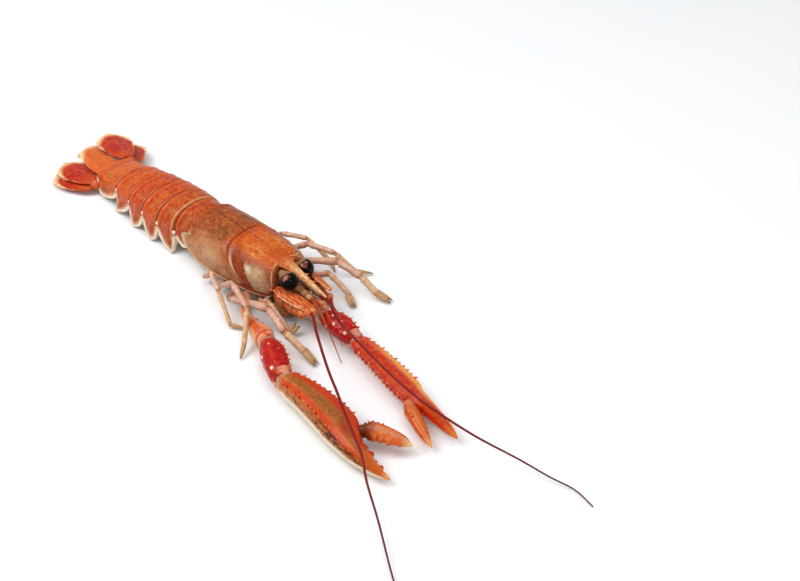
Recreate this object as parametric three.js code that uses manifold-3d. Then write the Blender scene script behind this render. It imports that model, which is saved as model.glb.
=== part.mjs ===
// A cooked langoustine lying belly down on a table, its claws stretched forward and to its right.
// Millimetres. +X points to the head, +Y to the animal's left, +Z up, and the table is z = 0.
import * as THREE from 'three';
import { mergeVertices } from 'three/addons/utils/BufferGeometryUtils.js';
import Module from 'manifold-3d';

const wasm = await Module();
wasm.setup();

const { MathUtils, Vector3 } = THREE;
const UP = new Vector3(0, 0, 1);

// ---------------------------------------------------------------------------------------------
// Driving dimensions
// ---------------------------------------------------------------------------------------------

const squareness = 2.3;          // power of the rounded section of the back
const widestHeight = 9;          // height at which the body is widest
const bellyHalfWidth = 4;        // half width of the flat under the chest, which rests on the table

// Carapace: x, half width, top of the back, lower edge of the side.
const shellSizes = [
  [-23, 11.7, 19.5, 4.2],
  [-10, 12.7, 20.1, 3.6],
  [2, 13.2, 19.9, 4.6],
  [12, 12.6, 19.6, 5.2],
  [19, 11.3, 19.1, 5.6],
  [26, 9.2, 17.6, 6.2],
  [30, 8.6, 17.0, 6.6],
];
// Lines round the carapace, each as height above the table and x.
const rearRim = [
  [0, -11.5], [3, -14], [5.6, -18.2], [9, -21.8], [12, -22.6], [14.2, -18.6], [20, -18.5],
];
const grooveLine = [
  [0, 15.5], [3, 15], [7, 13.8], [10, 11.8], [12.3, 8.1], [15.2, 4.9], [18, 2.7], [20, 1.9],
];
const frontRim = [[0, 20], [3, 23], [6.3, 25.2], [12, 27], [17.6, 25], [19, 24.4]];
const hollowDepth = 1.2;         // depth of the hollow in the rear rim, where the tail slides in
const hollowFloorX = -16.4;      // the hollow reaches no further forward than this
const rimInset = 2;              // how far the hollow's floor stands inside the side
const rimRounding = 0.9;
const grooveDepth = 0.8;
const frontRounding = 1.2;
const sideFoot = 3.2;            // height from which the side of the carapace rises
const backRise = 10.8;           // nominal rise of the back over its widest height
const keelWall = [6, 6.4];       // half widths of the chest's wall, low and high
const gutterRise = 0.5;          // the gutter for the leg roots lies this much above the lower edge
const gutterShare = 0.87;        // share of the half width where the gutter meets the side
const arcSteps = 8;
// Chest between the legs: x, height of its underside, share of its full width.
const chestSizes = [[-14, 3.2, 0.8], [-9.5, 0, 1], [12.5, 0, 1], [19, 2.6, 0.6], [24, 5.2, 0.5]];

// Rostrum: x, y, z of its middle, half width, half height.
const rostrumSizes = [
  [10, 0, 18.2, 3.6, 1.0],
  [20, -0.2, 18.0, 2.9, 1.3],
  [26, -0.45, 17.4, 2.0, 1.1],
  [32, -0.75, 16.6, 1.35, 0.9],
  [38, -0.95, 15.6, 1.0, 0.75],
  [44, -1.1, 14.5, 0.6, 0.5],
  [47, -1.2, 14.1, 0.15, 0.15],
];

// Tail segments: front x, rear x, half width front and rear, top front and rear, then for the
// side lobe its lowest height, its place along the segment and how far its tip leans forward.
const tailSegments = [
  [-19.0, -27.4, 10.4, 10.8, 18.2, 18.2, 5.2, 0.5, 0.6],
  [-27.7, -37.0, 11.7, 12.3, 18.1, 17.8, 0.5, 0.34, 2.6],
  [-37.3, -46.8, 12.4, 12.3, 17.5, 17.0, 0.5, 0.46, 0.2],
  [-47.1, -57.0, 12.2, 11.6, 16.6, 15.9, 0.5, 0.55, -1.6],
  [-57.3, -67.6, 11.4, 10.3, 15.4, 14.4, 0.9, 0.62, -4.9],
  [-67.9, -85.8, 10.1, 7.6, 13.8, 10.2, 1.8, 0.45, -5.5],
];
const lobeFlare = 0.9;           // how far a lobe's tip stands out from the side
const lobeThickness = 1.5;
const tailArcSteps = 5;
// Relief of a segment: share of its length, and how far the surface stands in. There is a sunk collar
// in front and a raised rear edge.
const segmentRelief = [[0, 0.9], [0.1, 0.8], [0.17, 0.1], [0.5, -0.1], [0.85, 0], [0.93, -0.15], [1, 0.1]];
const tongue = { x: -16.9, halfWidth: 8.5, top: 16.4, lobe: 8, belly: 4.4 };

// Plates of the tail fan and of the head: share of length, half width.
const fanOutline = [
  [0, 2.0], [0.1, 3.6], [0.3, 5.6], [0.55, 6.8], [0.75, 6.7], [0.9, 5.2], [0.97, 3.4], [1, 1.6],
];
const telsonOutline = [
  [0, 5.4], [0.08, 6.4], [0.3, 6.8], [0.6, 6.5], [0.85, 6.0], [0.95, 5.4], [1, 4.2],
];
const scaleOutline = [[0, 1.4], [0.15, 2.6], [0.5, 2.9], [0.8, 2.0], [0.95, 1.0], [1, 0.3]];
const leftScaleOutline = scaleOutline.map(([share, halfWidth]) => [share, halfWidth * 0.76]);
const eyeRadii = [3.4, 3.0, 3.2];

// ---------------------------------------------------------------------------------------------
// Curves and solids
// ---------------------------------------------------------------------------------------------

const point = (x, y, z) => new Vector3(x, y, z);

// Smooth curve through rows of [position, value, value, ...], without overshoot between rows.
function along(rows, position) {
  const last = rows.length - 1;
  const at = MathUtils.clamp(position, rows[0][0], rows[last][0]);
  let k = 0;
  while (k < last - 1 && at > rows[k + 1][0]) k += 1;
  const secant = (i, column) => {
    const rise = rows[i + 1][column] - rows[i][column];
    return rise / (rows[i + 1][0] - rows[i][0]);
  };
  const slope = (i, column) => {
    if (i === 0) return secant(0, column);
    if (i === last) return secant(last - 1, column);
    const before = secant(i - 1, column);
    const after = secant(i, column);
    return before * after > 0 ? (2 * before * after) / (before + after) : 0;
  };
  const span = rows[k + 1][0] - rows[k][0];
  const s = (at - rows[k][0]) / span;
  return rows[k].slice(1).map((value, i) => {
    const rise = rows[k + 1][i + 1] - value;
    const ease = s * s * (3 - 2 * s);
    const entry = span * slope(k, i + 1) * s * (1 - s) * (1 - s);
    const exit = span * slope(k + 1, i + 1) * s * s * (1 - s);
    return value + rise * ease + entry - exit;
  });
}

// Turns every face outwards when the solid came out inside out.
function facingOut(geometry) {
  const positions = geometry.getAttribute('position');
  const index = geometry.getIndex();
  const corner = (i) => new Vector3().fromBufferAttribute(positions, index.getX(i));
  let volume = 0;
  for (let i = 0; i < index.count; i += 3) volume += corner(i).dot(corner(i + 1).cross(corner(i + 2)));
  if (volume < 0) {
    for (let i = 0; i < index.count; i += 3) {
      const first = index.getX(i);
      index.setX(i, index.getX(i + 1));
      index.setX(i + 1, first);
    }
  }
  return geometry;
}

function solidFrom(points, triangles) {
  const geometry = new THREE.BufferGeometry();
  const numbers = points.flatMap((p) => p.toArray());
  geometry.setAttribute('position', new THREE.Float32BufferAttribute(numbers, 3));
  geometry.setIndex(triangles);
  return facingOut(geometry);
}

// Closed solid through rings of equal count, each end closed by a fan.
function loft(rings) {
  const sides = rings[0].length;
  const points = rings.flat();
  const triangles = [];
  for (let k = 0; k < rings.length - 1; k += 1) {
    for (let j = 0; j < sides; j += 1) {
      const a = k * sides + j;
      const b = k * sides + ((j + 1) % sides);
      triangles.push(a, b, b + sides, a, b + sides, a + sides);
    }
  }
  for (const [start, turn] of [[0, 1], [(rings.length - 1) * sides, -1]]) {
    const middle = new Vector3();
    for (let j = 0; j < sides; j += 1) middle.addScaledVector(points[start + j], 1 / sides);
    points.push(middle);
    for (let j = 0; j < sides; j += 1) {
      const ends = [start + j, start + ((j + 1) % sides)];
      if (turn > 0) ends.reverse();
      triangles.push(points.length - 1, ...ends);
    }
  }
  return solidFrom(points, triangles);
}

// Ring across a limb: a superellipse, with an outward relief given by the angle round it.
function section(middle, forward, size, options) {
  const { sides, power, up, relief } = options;
  const side = new Vector3().crossVectors(up, forward).normalize();
  const rise = new Vector3().crossVectors(forward, side).normalize();
  const ring = [];
  for (let i = 0; i < sides; i += 1) {
    const angle = (i / sides) * 2 * Math.PI;
    const across = Math.cos(angle);
    const height = Math.sin(angle);
    const scale = (Math.abs(across) ** power + Math.abs(height) ** power) ** (-1 / power);
    const bulge = relief(angle);
    ring.push(middle.clone()
      .addScaledVector(side, across * (size[0] * scale + bulge))
      .addScaledVector(rise, height * (size[1] * scale + bulge)));
  }
  return ring;
}

// Limb along a path; sizes are rows of [share of its length, half width, half height].
function limb(path, sizes, { sides = 8, power = 2, up = UP, relief = () => 0, steps = 1 } = {}) {
  const curve = path.length > 2 ? new THREE.CatmullRomCurve3(path, false, 'centripetal')
    : new THREE.LineCurve3(path[0], path[1]);
  const rings = [];
  for (let k = 0; k < sizes.length - 1; k += 1) {
    const count = k === sizes.length - 2 ? steps + 1 : steps;
    for (let j = 0; j < count; j += 1) {
      const share = MathUtils.lerp(sizes[k][0], sizes[k + 1][0], j / steps);
      const here = { sides, power, up, relief: (angle) => relief(angle, share) };
      rings.push(section(curve.getPointAt(share), curve.getTangentAt(share), along(sizes, share), here));
    }
  }
  return loft(rings);
}

// Sharp spine standing on a surface, its foot sunk a quarter of its length.
function spine(foot, direction, length, radius) {
  const sunk = length * 0.25;
  const heading = direction.clone().normalize();
  const cone = new THREE.ConeGeometry(radius, length + sunk, 4, 1);
  cone.applyQuaternion(new THREE.Quaternion().setFromUnitVectors(point(0, 1, 0), heading));
  const middle = foot.clone().addScaledVector(heading, (length - sunk) / 2);
  return cone.translate(middle.x, middle.y, middle.z);
}

function knob(middle, radii) {
  return new THREE.IcosahedronGeometry(1, 0).scale(...radii).translate(middle.x, middle.y, middle.z);
}

function toManifold(geometry) {
  const bare = geometry.clone();
  bare.deleteAttribute('normal');
  bare.deleteAttribute('uv');
  const merged = mergeVertices(bare, 1e-4);
  return new wasm.Manifold(new wasm.Mesh({
    numProp: 3,
    vertProperties: new Float32Array(merged.getAttribute('position').array),
    triVerts: new Uint32Array(merged.getIndex().array),
  }));
}

// One solid out of a body and the pieces grown onto it.
function grown(body, pieces) {
  let solid = toManifold(body);
  for (const piece of pieces) solid = solid.add(toManifold(piece));
  const mesh = solid.getMesh();
  const geometry = new THREE.BufferGeometry();
  geometry.setAttribute('position', new THREE.Float32BufferAttribute(mesh.vertProperties, 3));
  geometry.setIndex([...mesh.triVerts]);
  return geometry;
}

// ---------------------------------------------------------------------------------------------
// Carapace with rostrum and chest
// ---------------------------------------------------------------------------------------------

// Ring round the carapace where the line xAt(height) runs, standing in by inset: from the middle of
// the chest round the side to the top of the back.
function shellSection(xAt, inset) {
  const roundShare = 2 / squareness;
  const chestX = xAt(1);
  const [chestHeight, chestShare] = along(chestSizes, chestX);
  const [lipWidth, , lipEdge] = along(shellSizes, chestX);
  const gutter = lipEdge + gutterRise;
  const half = [
    [chestX, 0, chestHeight],
    [chestX, bellyHalfWidth * chestShare, chestHeight],
    [chestX, keelWall[0] * chestShare, MathUtils.lerp(chestHeight, gutter, 0.4)],
    [chestX, keelWall[1] * chestShare, gutter],
    [xAt(gutter), lipWidth * gutterShare, gutter],
  ];
  for (const share of [0, 0.45, 1]) {
    const x = xAt(MathUtils.lerp(sideFoot, widestHeight, share));
    const [width, , edge] = along(shellSizes, x);
    const side = width * MathUtils.lerp(0.95, 1, share) - inset;
    half.push([x, side, MathUtils.lerp(edge, widestHeight, share)]);
  }
  for (let i = 1; i <= arcSteps; i += 1) {
    const angle = (i / arcSteps) * Math.PI / 2;
    const reach = Math.cos(angle) ** roundShare;
    const rise = Math.sin(angle) ** roundShare;
    const x = xAt(widestHeight + backRise * rise);
    const [width, top] = along(shellSizes, x);
    half.push([
      x,
      Math.max(0, (width - inset) * reach),
      widestHeight + (top - widestHeight - inset) * rise,
    ]);
  }
  return closedRing(half);
}

// Mirrors a half section given from belly to back into a closed ring.
function closedRing(half) {
  const left = half.map(([x, y, z]) => point(x, y, z));
  const right = half.slice(1, -1).reverse().map(([x, y, z]) => point(x, -y, z));
  return [...left, ...right];
}

function carapaceShell() {
  const between = (from, to, share) => (height) => (
    MathUtils.lerp(along(from, height)[0], along(to, height)[0], share)
  );
  const hollowFloor = (height) => Math.max(along(rearRim, height)[0] + hollowDepth, hollowFloorX);
  const rings = [
    shellSection(hollowFloor, rimInset),
    shellSection(between(rearRim, grooveLine, 0), rimRounding),
    shellSection(between(rearRim, grooveLine, 0.015), -0.15),
  ];
  for (const share of [0.07, 0.2, 0.4, 0.6, 0.78, 0.91]) {
    rings.push(shellSection(between(rearRim, grooveLine, share), 0));
  }
  rings.push(shellSection(between(grooveLine, frontRim, 0), grooveDepth));
  for (const share of [0.1, 0.26, 0.45, 0.64, 0.82, 0.95]) {
    rings.push(shellSection(between(grooveLine, frontRim, share), 0));
  }
  rings.push(shellSection(between(grooveLine, frontRim, 1), frontRounding));
  return loft(rings);
}

function rostrum() {
  const rings = rostrumSizes.map(([x, y, z, halfWidth, halfHeight]) => section(
    point(x, y, z), point(1, 0, 0), [halfWidth, halfHeight],
    { sides: 8, power: 1.6, up: UP, relief: () => 0 },
  ));
  return loft(rings);
}

// Teeth of the rostrum, a spine behind each eye and on each cheek, and a knob on each shoulder.
function carapaceSpines() {
  const pieces = [];
  for (const x of [24, 29.5, 35]) {
    const [y, z, halfWidth] = along(rostrumSizes, x);
    for (const side of [-1, 1]) {
      pieces.push(spine(point(x, y + side * halfWidth * 0.8, z), point(1, side * 0.7, 0.35), 1.7, 0.5));
    }
  }
  for (const side of [-1, 1]) {
    pieces.push(spine(point(23.5, side * 5, 17.1), point(1, side * 0.1, 0.15), 2.4, 0.7));
    pieces.push(spine(point(25.5, side * 8.3, 11.2), point(1, side * 0.15, 0.1), 2.6, 0.8));
    pieces.push(knob(point(12.5, side * 6.2, 18), [1.3, 0.6, 0.7]));
  }
  pieces.push(spine(point(0, 0, 19.7), point(1, 0, 0.8), 1.5, 0.6));
  return pieces;
}

// ---------------------------------------------------------------------------------------------
// Tail
// ---------------------------------------------------------------------------------------------

// Ring round a tail segment: rounded back, hanging side lobes and the flesh of the belly between
// them. A lobe leans forward by lean at its tip.
function tailSection({ x, halfWidth: width, top, lobe, belly, lean = 0 }) {
  const roundShare = 2 / squareness;
  const lobeInner = width - lobeThickness;
  const innerHeight = Math.max(belly + 0.7, lobe + 0.5);
  const half = [
    [x, 0, belly],
    [x, lobeInner * 0.6, belly],
    [x, lobeInner - 0.9, innerHeight],
  ];
  const drop = (height) => 1 - Math.min(height, widestHeight) / widestHeight;
  const hanging = (inset, height) => {
    const low = drop(height);
    return [x + lean * low, width - inset + lobeFlare * low, height];
  };
  half.push(
    hanging(lobeThickness, Math.min(lobe + 0.25, innerHeight)),
    hanging(0.25, lobe),
    hanging(-0.1, MathUtils.lerp(lobe, widestHeight, 0.4)),
    hanging(0, widestHeight),
  );
  for (let i = 1; i <= tailArcSteps; i += 1) {
    const angle = (i / tailArcSteps) * Math.PI / 2;
    const reach = Math.cos(angle) ** roundShare;
    const rise = Math.sin(angle) ** roundShare;
    half.push([x, Math.max(0, width * reach), widestHeight + (top - widestHeight) * rise]);
  }
  return closedRing(half);
}

function tailSegment(number) {
  const [front, rear, frontWidth, rearWidth, frontTop, rearTop, ...lobeSizes] = tailSegments[number];
  const [lobeTip, lobeShare, lobeLean] = lobeSizes;
  const edge = number === 0 ? 8 : 7.2;
  const [behindTip, risingRear] = [0.32, 0.64].map((part) => lobeShare + (1 - lobeShare) * part);
  const lobeLine = [
    [0, edge],
    [lobeShare * 0.35, MathUtils.lerp(edge, lobeTip, 0.6)],
    [lobeShare * 0.7, MathUtils.lerp(edge, lobeTip, 0.92)],
    [lobeShare, lobeTip],
    [behindTip, MathUtils.lerp(edge, lobeTip, 0.94)],
    [risingRear, MathUtils.lerp(edge, lobeTip, 0.62)],
    [1, edge - 0.6],
  ];
  const belly = number === 5 ? 4 : 3.4;
  const rings = [0, 0.1, 0.17, lobeShare * 0.7, lobeShare, behindTip, risingRear, 0.93, 1].map((share) => {
    const [inset] = along(segmentRelief, share);
    const [lobe] = along(lobeLine, share);
    return tailSection({
      x: MathUtils.lerp(front, rear, share),
      halfWidth: MathUtils.lerp(frontWidth, rearWidth, share) - inset,
      top: MathUtils.lerp(frontTop, rearTop, share) - inset,
      lobe,
      belly,
      lean: lobeLean * Math.sin(Math.PI * share),
    });
  });
  if (number === 0) rings.unshift(tailSection(tongue));
  return loft(rings);
}

// Pair of swimming legs folded flat against the belly of a segment.
function swimmingLegs(number) {
  const [front, rear] = tailSegments[number];
  return [-1, 1].map((side) => limb(
    [point(MathUtils.lerp(front, rear, 0.75), side * 7.2, 3.9), point(front + 2.6, side * 3.2, 2.6)],
    [[0, 0.7, 0.5], [0.35, 1.7, 0.6], [1, 0.3, 0.3]],
    { sides: 6 },
  ));
}

// Thin curved plate: outline rows are [share of length, half width]; the crown lifts its middle.
function plate(start, end, outline, { thickness, crown, tilt = 0, columns = 6 }) {
  const heading = end.clone().sub(start);
  const side = new Vector3().crossVectors(UP, heading).normalize();
  const across = side.clone().applyAxisAngle(heading.clone().normalize(), tilt);
  const rise = new Vector3().crossVectors(heading, across).normalize();
  const rings = outline.map(([share, halfWidth]) => {
    const middle = start.clone().addScaledVector(heading, share);
    const face = (lift) => Array.from({ length: columns + 1 }, (_, j) => {
      const w = (j / columns) * 2 - 1;
      return middle.clone()
        .addScaledVector(across, w * halfWidth)
        .addScaledVector(rise, lift * (1 - 0.5 * w * w) + crown * (1 - w * w));
    });
    return [...face(thickness / 2), ...face(-thickness / 2).reverse()];
  });
  return loft(rings);
}

// ---------------------------------------------------------------------------------------------
// Head
// ---------------------------------------------------------------------------------------------

function eye(middle) {
  return new THREE.SphereGeometry(1, 10, 7).rotateX(Math.PI / 2).scale(...eyeRadii)
    .translate(middle.x, middle.y, middle.z);
}

// Rows of sizes for a round limb out of rows of [share, radius].
const round = (rows) => rows.map(([share, radius]) => [share, radius, radius]);

// Foot of a long feeler: three barrels, each thinner than the one before.
function antennaBase(path) {
  const barrels = [3.1, 2.4, 1.8].map((radius, k) => limb(
    [path[k], path[k + 1]],
    round([[0, radius * 0.8], [0.3, radius], [0.85, radius * 0.92], [1, radius * 0.6]]),
  ));
  return grown(barrels[0], barrels.slice(1));
}

// Long feeler: a tube along one curve that thins towards its tip.
function feeler(path, thickest, thinnest, steps) {
  const middle = MathUtils.lerp(thickest, thinnest, 0.6);
  const sizes = round([[0, thickest], [0.1, thickest * 0.8], [0.5, middle], [1, thinnest]]);
  return limb(path, sizes, { sides: 6, steps });
}

// Short feeler of the inner pair: a jointed foot and a whip that hangs down to the table.
function antennule(foot, whip) {
  const stem = limb([foot, whip[0]], [[0, 1.3, 1.1], [0.3, 1.5, 1.2], [0.9, 1.2, 1.0], [1, 0.8, 0.8]],
    { sides: 6 });
  const lash = limb(whip, round([[0, 0.7], [0.5, 0.45], [1, 0.25]]), { sides: 5, steps: 4 });
  return grown(stem, [lash]);
}

// ---------------------------------------------------------------------------------------------
// Legs and claws
// ---------------------------------------------------------------------------------------------

// Leg through its joints: each stretch is a limb of its own, thicker at its far joint.
function jointedLeg(joints, radii, pieces = []) {
  const stretches = [];
  for (let k = 0; k < joints.length - 1; k += 1) {
    const isTip = k === joints.length - 2;
    const start = radii[k];
    const finish = isTip ? 0.2 : radii[k + 1] * 1.08;
    stretches.push(limb(
      [joints[k], joints[k + 1]],
      [[0, start * 0.85, start], [0.5, start * 0.9, start * 0.95], [1, finish * 0.9, finish]],
      { sides: 6 },
    ));
  }
  return grown(stretches[0], [...stretches.slice(1), ...pieces]);
}

// Height of a rounded ridge that runs along a limb at the angle at.
const ridge = (angle, at, width, height) => {
  const turn = Math.atan2(Math.sin(angle - at), Math.cos(angle - at));
  return height * Math.exp(-((turn / width) ** 2));
};

// Row of spines standing on a limb's surface, at one angle round it.
function spineRow(path, sizes, angle, shares, length, radius) {
  const curve = new THREE.CatmullRomCurve3(path, false, 'centripetal');
  return shares.map((share) => {
    const forward = curve.getTangentAt(share);
    const middle = curve.getPointAt(share);
    const [halfWidth, halfHeight] = along(sizes, share);
    const side = new Vector3().crossVectors(UP, forward).normalize();
    const rise = new Vector3().crossVectors(forward, side).normalize();
    const foot = middle.addScaledVector(side, Math.cos(angle) * halfWidth)
      .addScaledVector(rise, Math.sin(angle) * halfHeight);
    const direction = forward.multiplyScalar(0.55)
      .addScaledVector(side, Math.cos(angle))
      .addScaledVector(rise, Math.sin(angle));
    return spine(foot, direction, length, radius);
  });
}

function evenShares(from, to, count) {
  return Array.from({ length: count }, (_, i) => MathUtils.lerp(from, to, i / (count - 1)));
}

// Rounded teeth along the edge of a finger; places are [share of length, radius], facing left or right.
function teeth(path, sizes, places, facing) {
  const curve = new THREE.CatmullRomCurve3(path, false, 'centripetal');
  return places.map(([share, radius]) => {
    const side = new Vector3().crossVectors(UP, curve.getTangentAt(share)).normalize();
    const middle = curve.getPointAt(share).addScaledVector(side, facing * along(sizes, share)[0]);
    return knob(middle, [radius, radius, radius * 0.8]);
  });
}

// Ridges are the angles round the palm of its spined ridges: inner edge, middle and outer side.
const claws = {
  right: {
    arm: [point(12.8, -9.4, 2.5), point(18.6, -14.8, 2.6), point(25, -19.4, 3.4), point(34, -22.8, 5.0),
      point(43.2, -25.0, 6.2)],
    armSizes: [[0, 1.7, 1.9], [0.25, 1.9, 2.0], [0.5, 2.0, 2.1], [0.75, 2.9, 3.2], [0.93, 4.0, 4.5],
      [1, 3.0, 3.4]],
    wrist: [point(44.4, -25.6, 6.2), point(52, -29.4, 6.5), point(60.6, -33.2, 5.9)],
    wristSizes: [[0, 2.4, 2.8], [0.15, 3.5, 3.9], [0.5, 4.1, 4.4], [0.85, 3.8, 4.0], [1, 2.7, 3.0]],
    palm: [point(61.9, -33.6, 5.6), point(70, -33.7, 5.7), point(77, -34.1, 5.7), point(85, -34.1, 5.6),
      point(91, -34.6, 5.3), point(96.6, -37.6, 4.7), point(101, -38.4, 4.2), point(107, -38.5, 3.6),
      point(111, -38.1, 3.2), point(115, -37.7, 2.8)],
    palmSizes: [[0, 3.0, 3.4], [0.06, 4.4, 4.4], [0.15, 5.1, 5.0], [0.28, 5.9, 5.3], [0.42, 6.2, 5.2],
      [0.53, 6.3, 5.0], [0.57, 5.4, 4.8], [0.62, 3.8, 4.2], [0.74, 3.0, 3.5], [0.85, 2.0, 2.7],
      [0.93, 1.2, 1.7], [1, 0.3, 0.4]],
    finger: [point(96.5, -30.7, 5.7), point(100.3, -28.4, 5.8), point(105.2, -26.1, 5.4),
      point(110.9, -24.0, 4.3)],
    fingerSizes: [[0, 2.3, 2.8], [0.15, 2.9, 3.2], [0.5, 2.3, 2.7], [0.8, 1.7, 1.9], [1, 0.25, 0.3]],
    // Rounded teeth: share of the finger's length, radius.
    palmTeeth: [[0.72, 0.9], [0.79, 1.4], [0.85, 0.8], [0.91, 1.2]],
    fingerTeeth: [[0.22, 1.0], [0.4, 0.9], [0.58, 1.4], [0.75, 0.7]],
    ridges: [0.6, 2.35, 3.2],
    edgeSpines: { wrist: 1.8, palm: 8, fingerAngle: 0.5 },
  },
  left: {
    arm: [point(13, 8.8, 2.6), point(21, 6.2, 2.8), point(30, 2.4, 3.5), point(38, -0.7, 5.2),
      point(46.4, -2.6, 6.6)],
    armSizes: [[0, 1.8, 2.0], [0.25, 2.1, 2.2], [0.5, 2.4, 2.5], [0.75, 3.1, 3.4], [0.93, 3.6, 4.0],
      [1, 2.6, 3.0]],
    wrist: [point(47.6, -2.9, 6.8), point(56, -3.0, 7.0), point(63.2, -3.4, 6.2)],
    wristSizes: [[0, 2.2, 2.4], [0.15, 3.2, 3.4], [0.5, 3.8, 3.9], [0.85, 3.4, 3.5], [1, 2.3, 2.5]],
    palm: [point(64.5, -3.5, 5.6), point(75.6, -4.7, 5.4), point(88.8, -7.0, 5.0), point(96, -8.2, 4.8),
      point(107, -9.4, 4.3), point(117.6, -11.2, 3.4)],
    palmSizes: [[0, 2.4, 2.6], [0.06, 3.0, 3.3], [0.25, 3.6, 3.7], [0.45, 4.0, 3.8], [0.56, 3.9, 3.7],
      [0.61, 2.8, 3.4], [0.7, 2.5, 2.9], [0.85, 1.9, 2.1], [0.94, 1.3, 1.4], [1, 0.3, 0.4]],
    finger: [point(98.0, -13.0, 4.8), point(103, -15.0, 4.7), point(108.6, -17.4, 4.2),
      point(114.6, -19.5, 3.2)],
    fingerSizes: [[0, 1.5, 1.9], [0.15, 1.9, 2.4], [0.5, 1.8, 2.1], [0.8, 1.3, 1.5], [1, 0.25, 0.3]],
    palmTeeth: [],
    fingerTeeth: [],
    ridges: [0.6, 1.7, 2.75],
    edgeSpines: { wrist: 1.4, palm: 9, fingerAngle: 2.6 },
  },
};

function clawArm({ arm, armSizes }) {
  const spines = spineRow(arm, armSizes, 0.9, [0.72, 0.86], 1.5, 0.7);
  return grown(limb(arm, armSizes, { sides: 9, steps: 2 }), spines);
}

function clawWrist({ wrist, wristSizes, edgeSpines }) {
  const body = limb(wrist, wristSizes, { sides: 10, steps: 2, power: squareness });
  const inner = spineRow(wrist, wristSizes, 0.6, evenShares(0.2, 0.86, 5), edgeSpines.wrist, 0.7);
  const upper = spineRow(wrist, wristSizes, 1.7, evenShares(0.25, 0.85, 4), 0.9, 0.7);
  const outer = spineRow(wrist, wristSizes, 2.9, evenShares(0.25, 0.85, 4), 0.9, 0.7);
  return grown(body, [...inner, ...upper, ...outer]);
}

// Palm and fixed finger; the ridges fade out where the finger begins.
function clawPalm({ palm, palmSizes, palmTeeth, ridges, edgeSpines }) {
  const fade = (share) => MathUtils.clamp((0.75 - share) * 6, 0, 1);
  const relief = (angle, share) => fade(share) * ridges.reduce(
    (height, at) => height + ridge(angle, at, 0.3, 0.45), 0);
  const body = limb(palm, palmSizes, { sides: 14, power: 2.2, relief });
  const rows = ridges.flatMap((angle) => {
    const isInner = angle === ridges[0];
    const shares = evenShares(0.08, isInner ? 0.46 : 0.56, edgeSpines.palm);
    return spineRow(palm, palmSizes, angle, shares, isInner ? 1.5 : 1.1, 0.6);
  });
  return grown(body, [...rows, ...teeth(palm, palmSizes, palmTeeth, 1)]);
}

function clawFinger({ finger, fingerSizes, fingerTeeth, edgeSpines }) {
  const body = limb(finger, fingerSizes, { sides: 10, steps: 2 });
  const row = spineRow(finger, fingerSizes, edgeSpines.fingerAngle, evenShares(0.1, 0.55, 4), 0.9, 0.55);
  return grown(body, [...row, ...teeth(finger, fingerSizes, fingerTeeth, -1)]);
}

// Walking legs of the right side, from the rearmost forward, each through its joints.
const rightLegs = [
  {
    joints: [point(-4.4, -8.2, 2.3), point(-5.0, -15.4, 3.0), point(1.2, -16.4, 9.2),
      point(12.4, -21.6, 9.2), point(22.4, -25.1, 1.6), point(28.0, -21.7, 0.8)],
    radii: [1.1, 1.0, 1.05, 0.95, 0.85, 0.6],
  },
  {
    joints: [point(2, -8.4, 2.5), point(3.6, -15.6, 3.2), point(15.2, -17.2, 11.6),
      point(29.8, -22.4, 12.0), point(35.8, -29.6, 2.8), point(38.4, -33.4, 0.8)],
    radii: [1.2, 1.2, 1.2, 1.1, 1.0, 0.7],
  },
  {
    joints: [point(7.6, -8.6, 2.6), point(12.4, -17.6, 3.8), point(34.8, -17.2, 11.4),
      point(44.8, -18.8, 7.8), point(53.1, -17.3, 2.8), point(59.3, -18.1, 0.9)],
    radii: [1.4, 1.4, 1.5, 1.45, 1.3, 0.7],
    pincer: [point(52.3, -16.3, 3.0), point(59.0, -16.6, 1.1)],
  },
  {
    joints: [point(15.6, -5.4, 1.9), point(22, -10.6, 3.2), point(28.7, -12.6, 8.6),
      point(40.5, -13.5, 2.2), point(40.2, -9.8, 4.2)],
    radii: [1.1, 1.2, 1.2, 1.0, 0.7],
    pincer: [point(41.4, -12.9, 2.2), point(41.8, -9.4, 3.4)],
  },
];
// Walking legs of the left side, spread on the table.
const leftLegs = [
  {
    joints: [point(-4.4, 8.2, 2.3), point(-5.0, 15.4, 3.0), point(0.6, 17.4, 9.0), point(9.6, 22.4, 8.8),
      point(18.6, 25.4, 1.6), point(24.6, 22.6, 0.8)],
    radii: [1.1, 1.0, 1.05, 0.95, 0.85, 0.6],
  },
  {
    joints: [point(2, 8.4, 2.5), point(3.6, 15.6, 3.2), point(14.4, 18.4, 10.6), point(24.8, 22.6, 9.6),
      point(31.0, 26.6, 2.4), point(35.4, 32.0, 0.8)],
    radii: [1.2, 1.2, 1.2, 1.1, 1.0, 0.7],
  },
  {
    joints: [point(7.6, 8.6, 2.6), point(13.0, 15.2, 3.6), point(30.6, 18.6, 10.8), point(39.8, 21.6, 7.2),
      point(47.0, 22.6, 2.6), point(52.6, 24.0, 0.9)],
    radii: [1.4, 1.4, 1.5, 1.45, 1.3, 0.7],
    pincer: [point(46.2, 23.6, 2.8), point(52.2, 25.4, 1.1)],
  },
  {
    joints: [point(17.6, 11.4, 2.2), point(24.0, 13.0, 3.4), point(31, 14.0, 8.2), point(40.6, 15.4, 2.4),
      point(45.6, 13.4, 0.9)],
    radii: [1.1, 1.2, 1.2, 1.0, 0.7],
    pincer: [point(40.2, 14.4, 2.4), point(45.2, 12.2, 1.1)],
  },
];

// The two front pairs end in a small pincer, whose second finger is a limb of its own.
function walkingLeg({ joints, radii, pincer }) {
  if (!pincer) return jointedLeg(joints, radii);
  const secondFinger = limb(pincer, round([[0, 0.9], [0.6, 0.7], [1, 0.2]]), { sides: 6 });
  return jointedLeg(joints, radii, [secondFinger]);
}

// ---------------------------------------------------------------------------------------------
// Scene
// ---------------------------------------------------------------------------------------------

const langoustine = new THREE.Group();
langoustine.name = 'cooked_langoustine';

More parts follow.
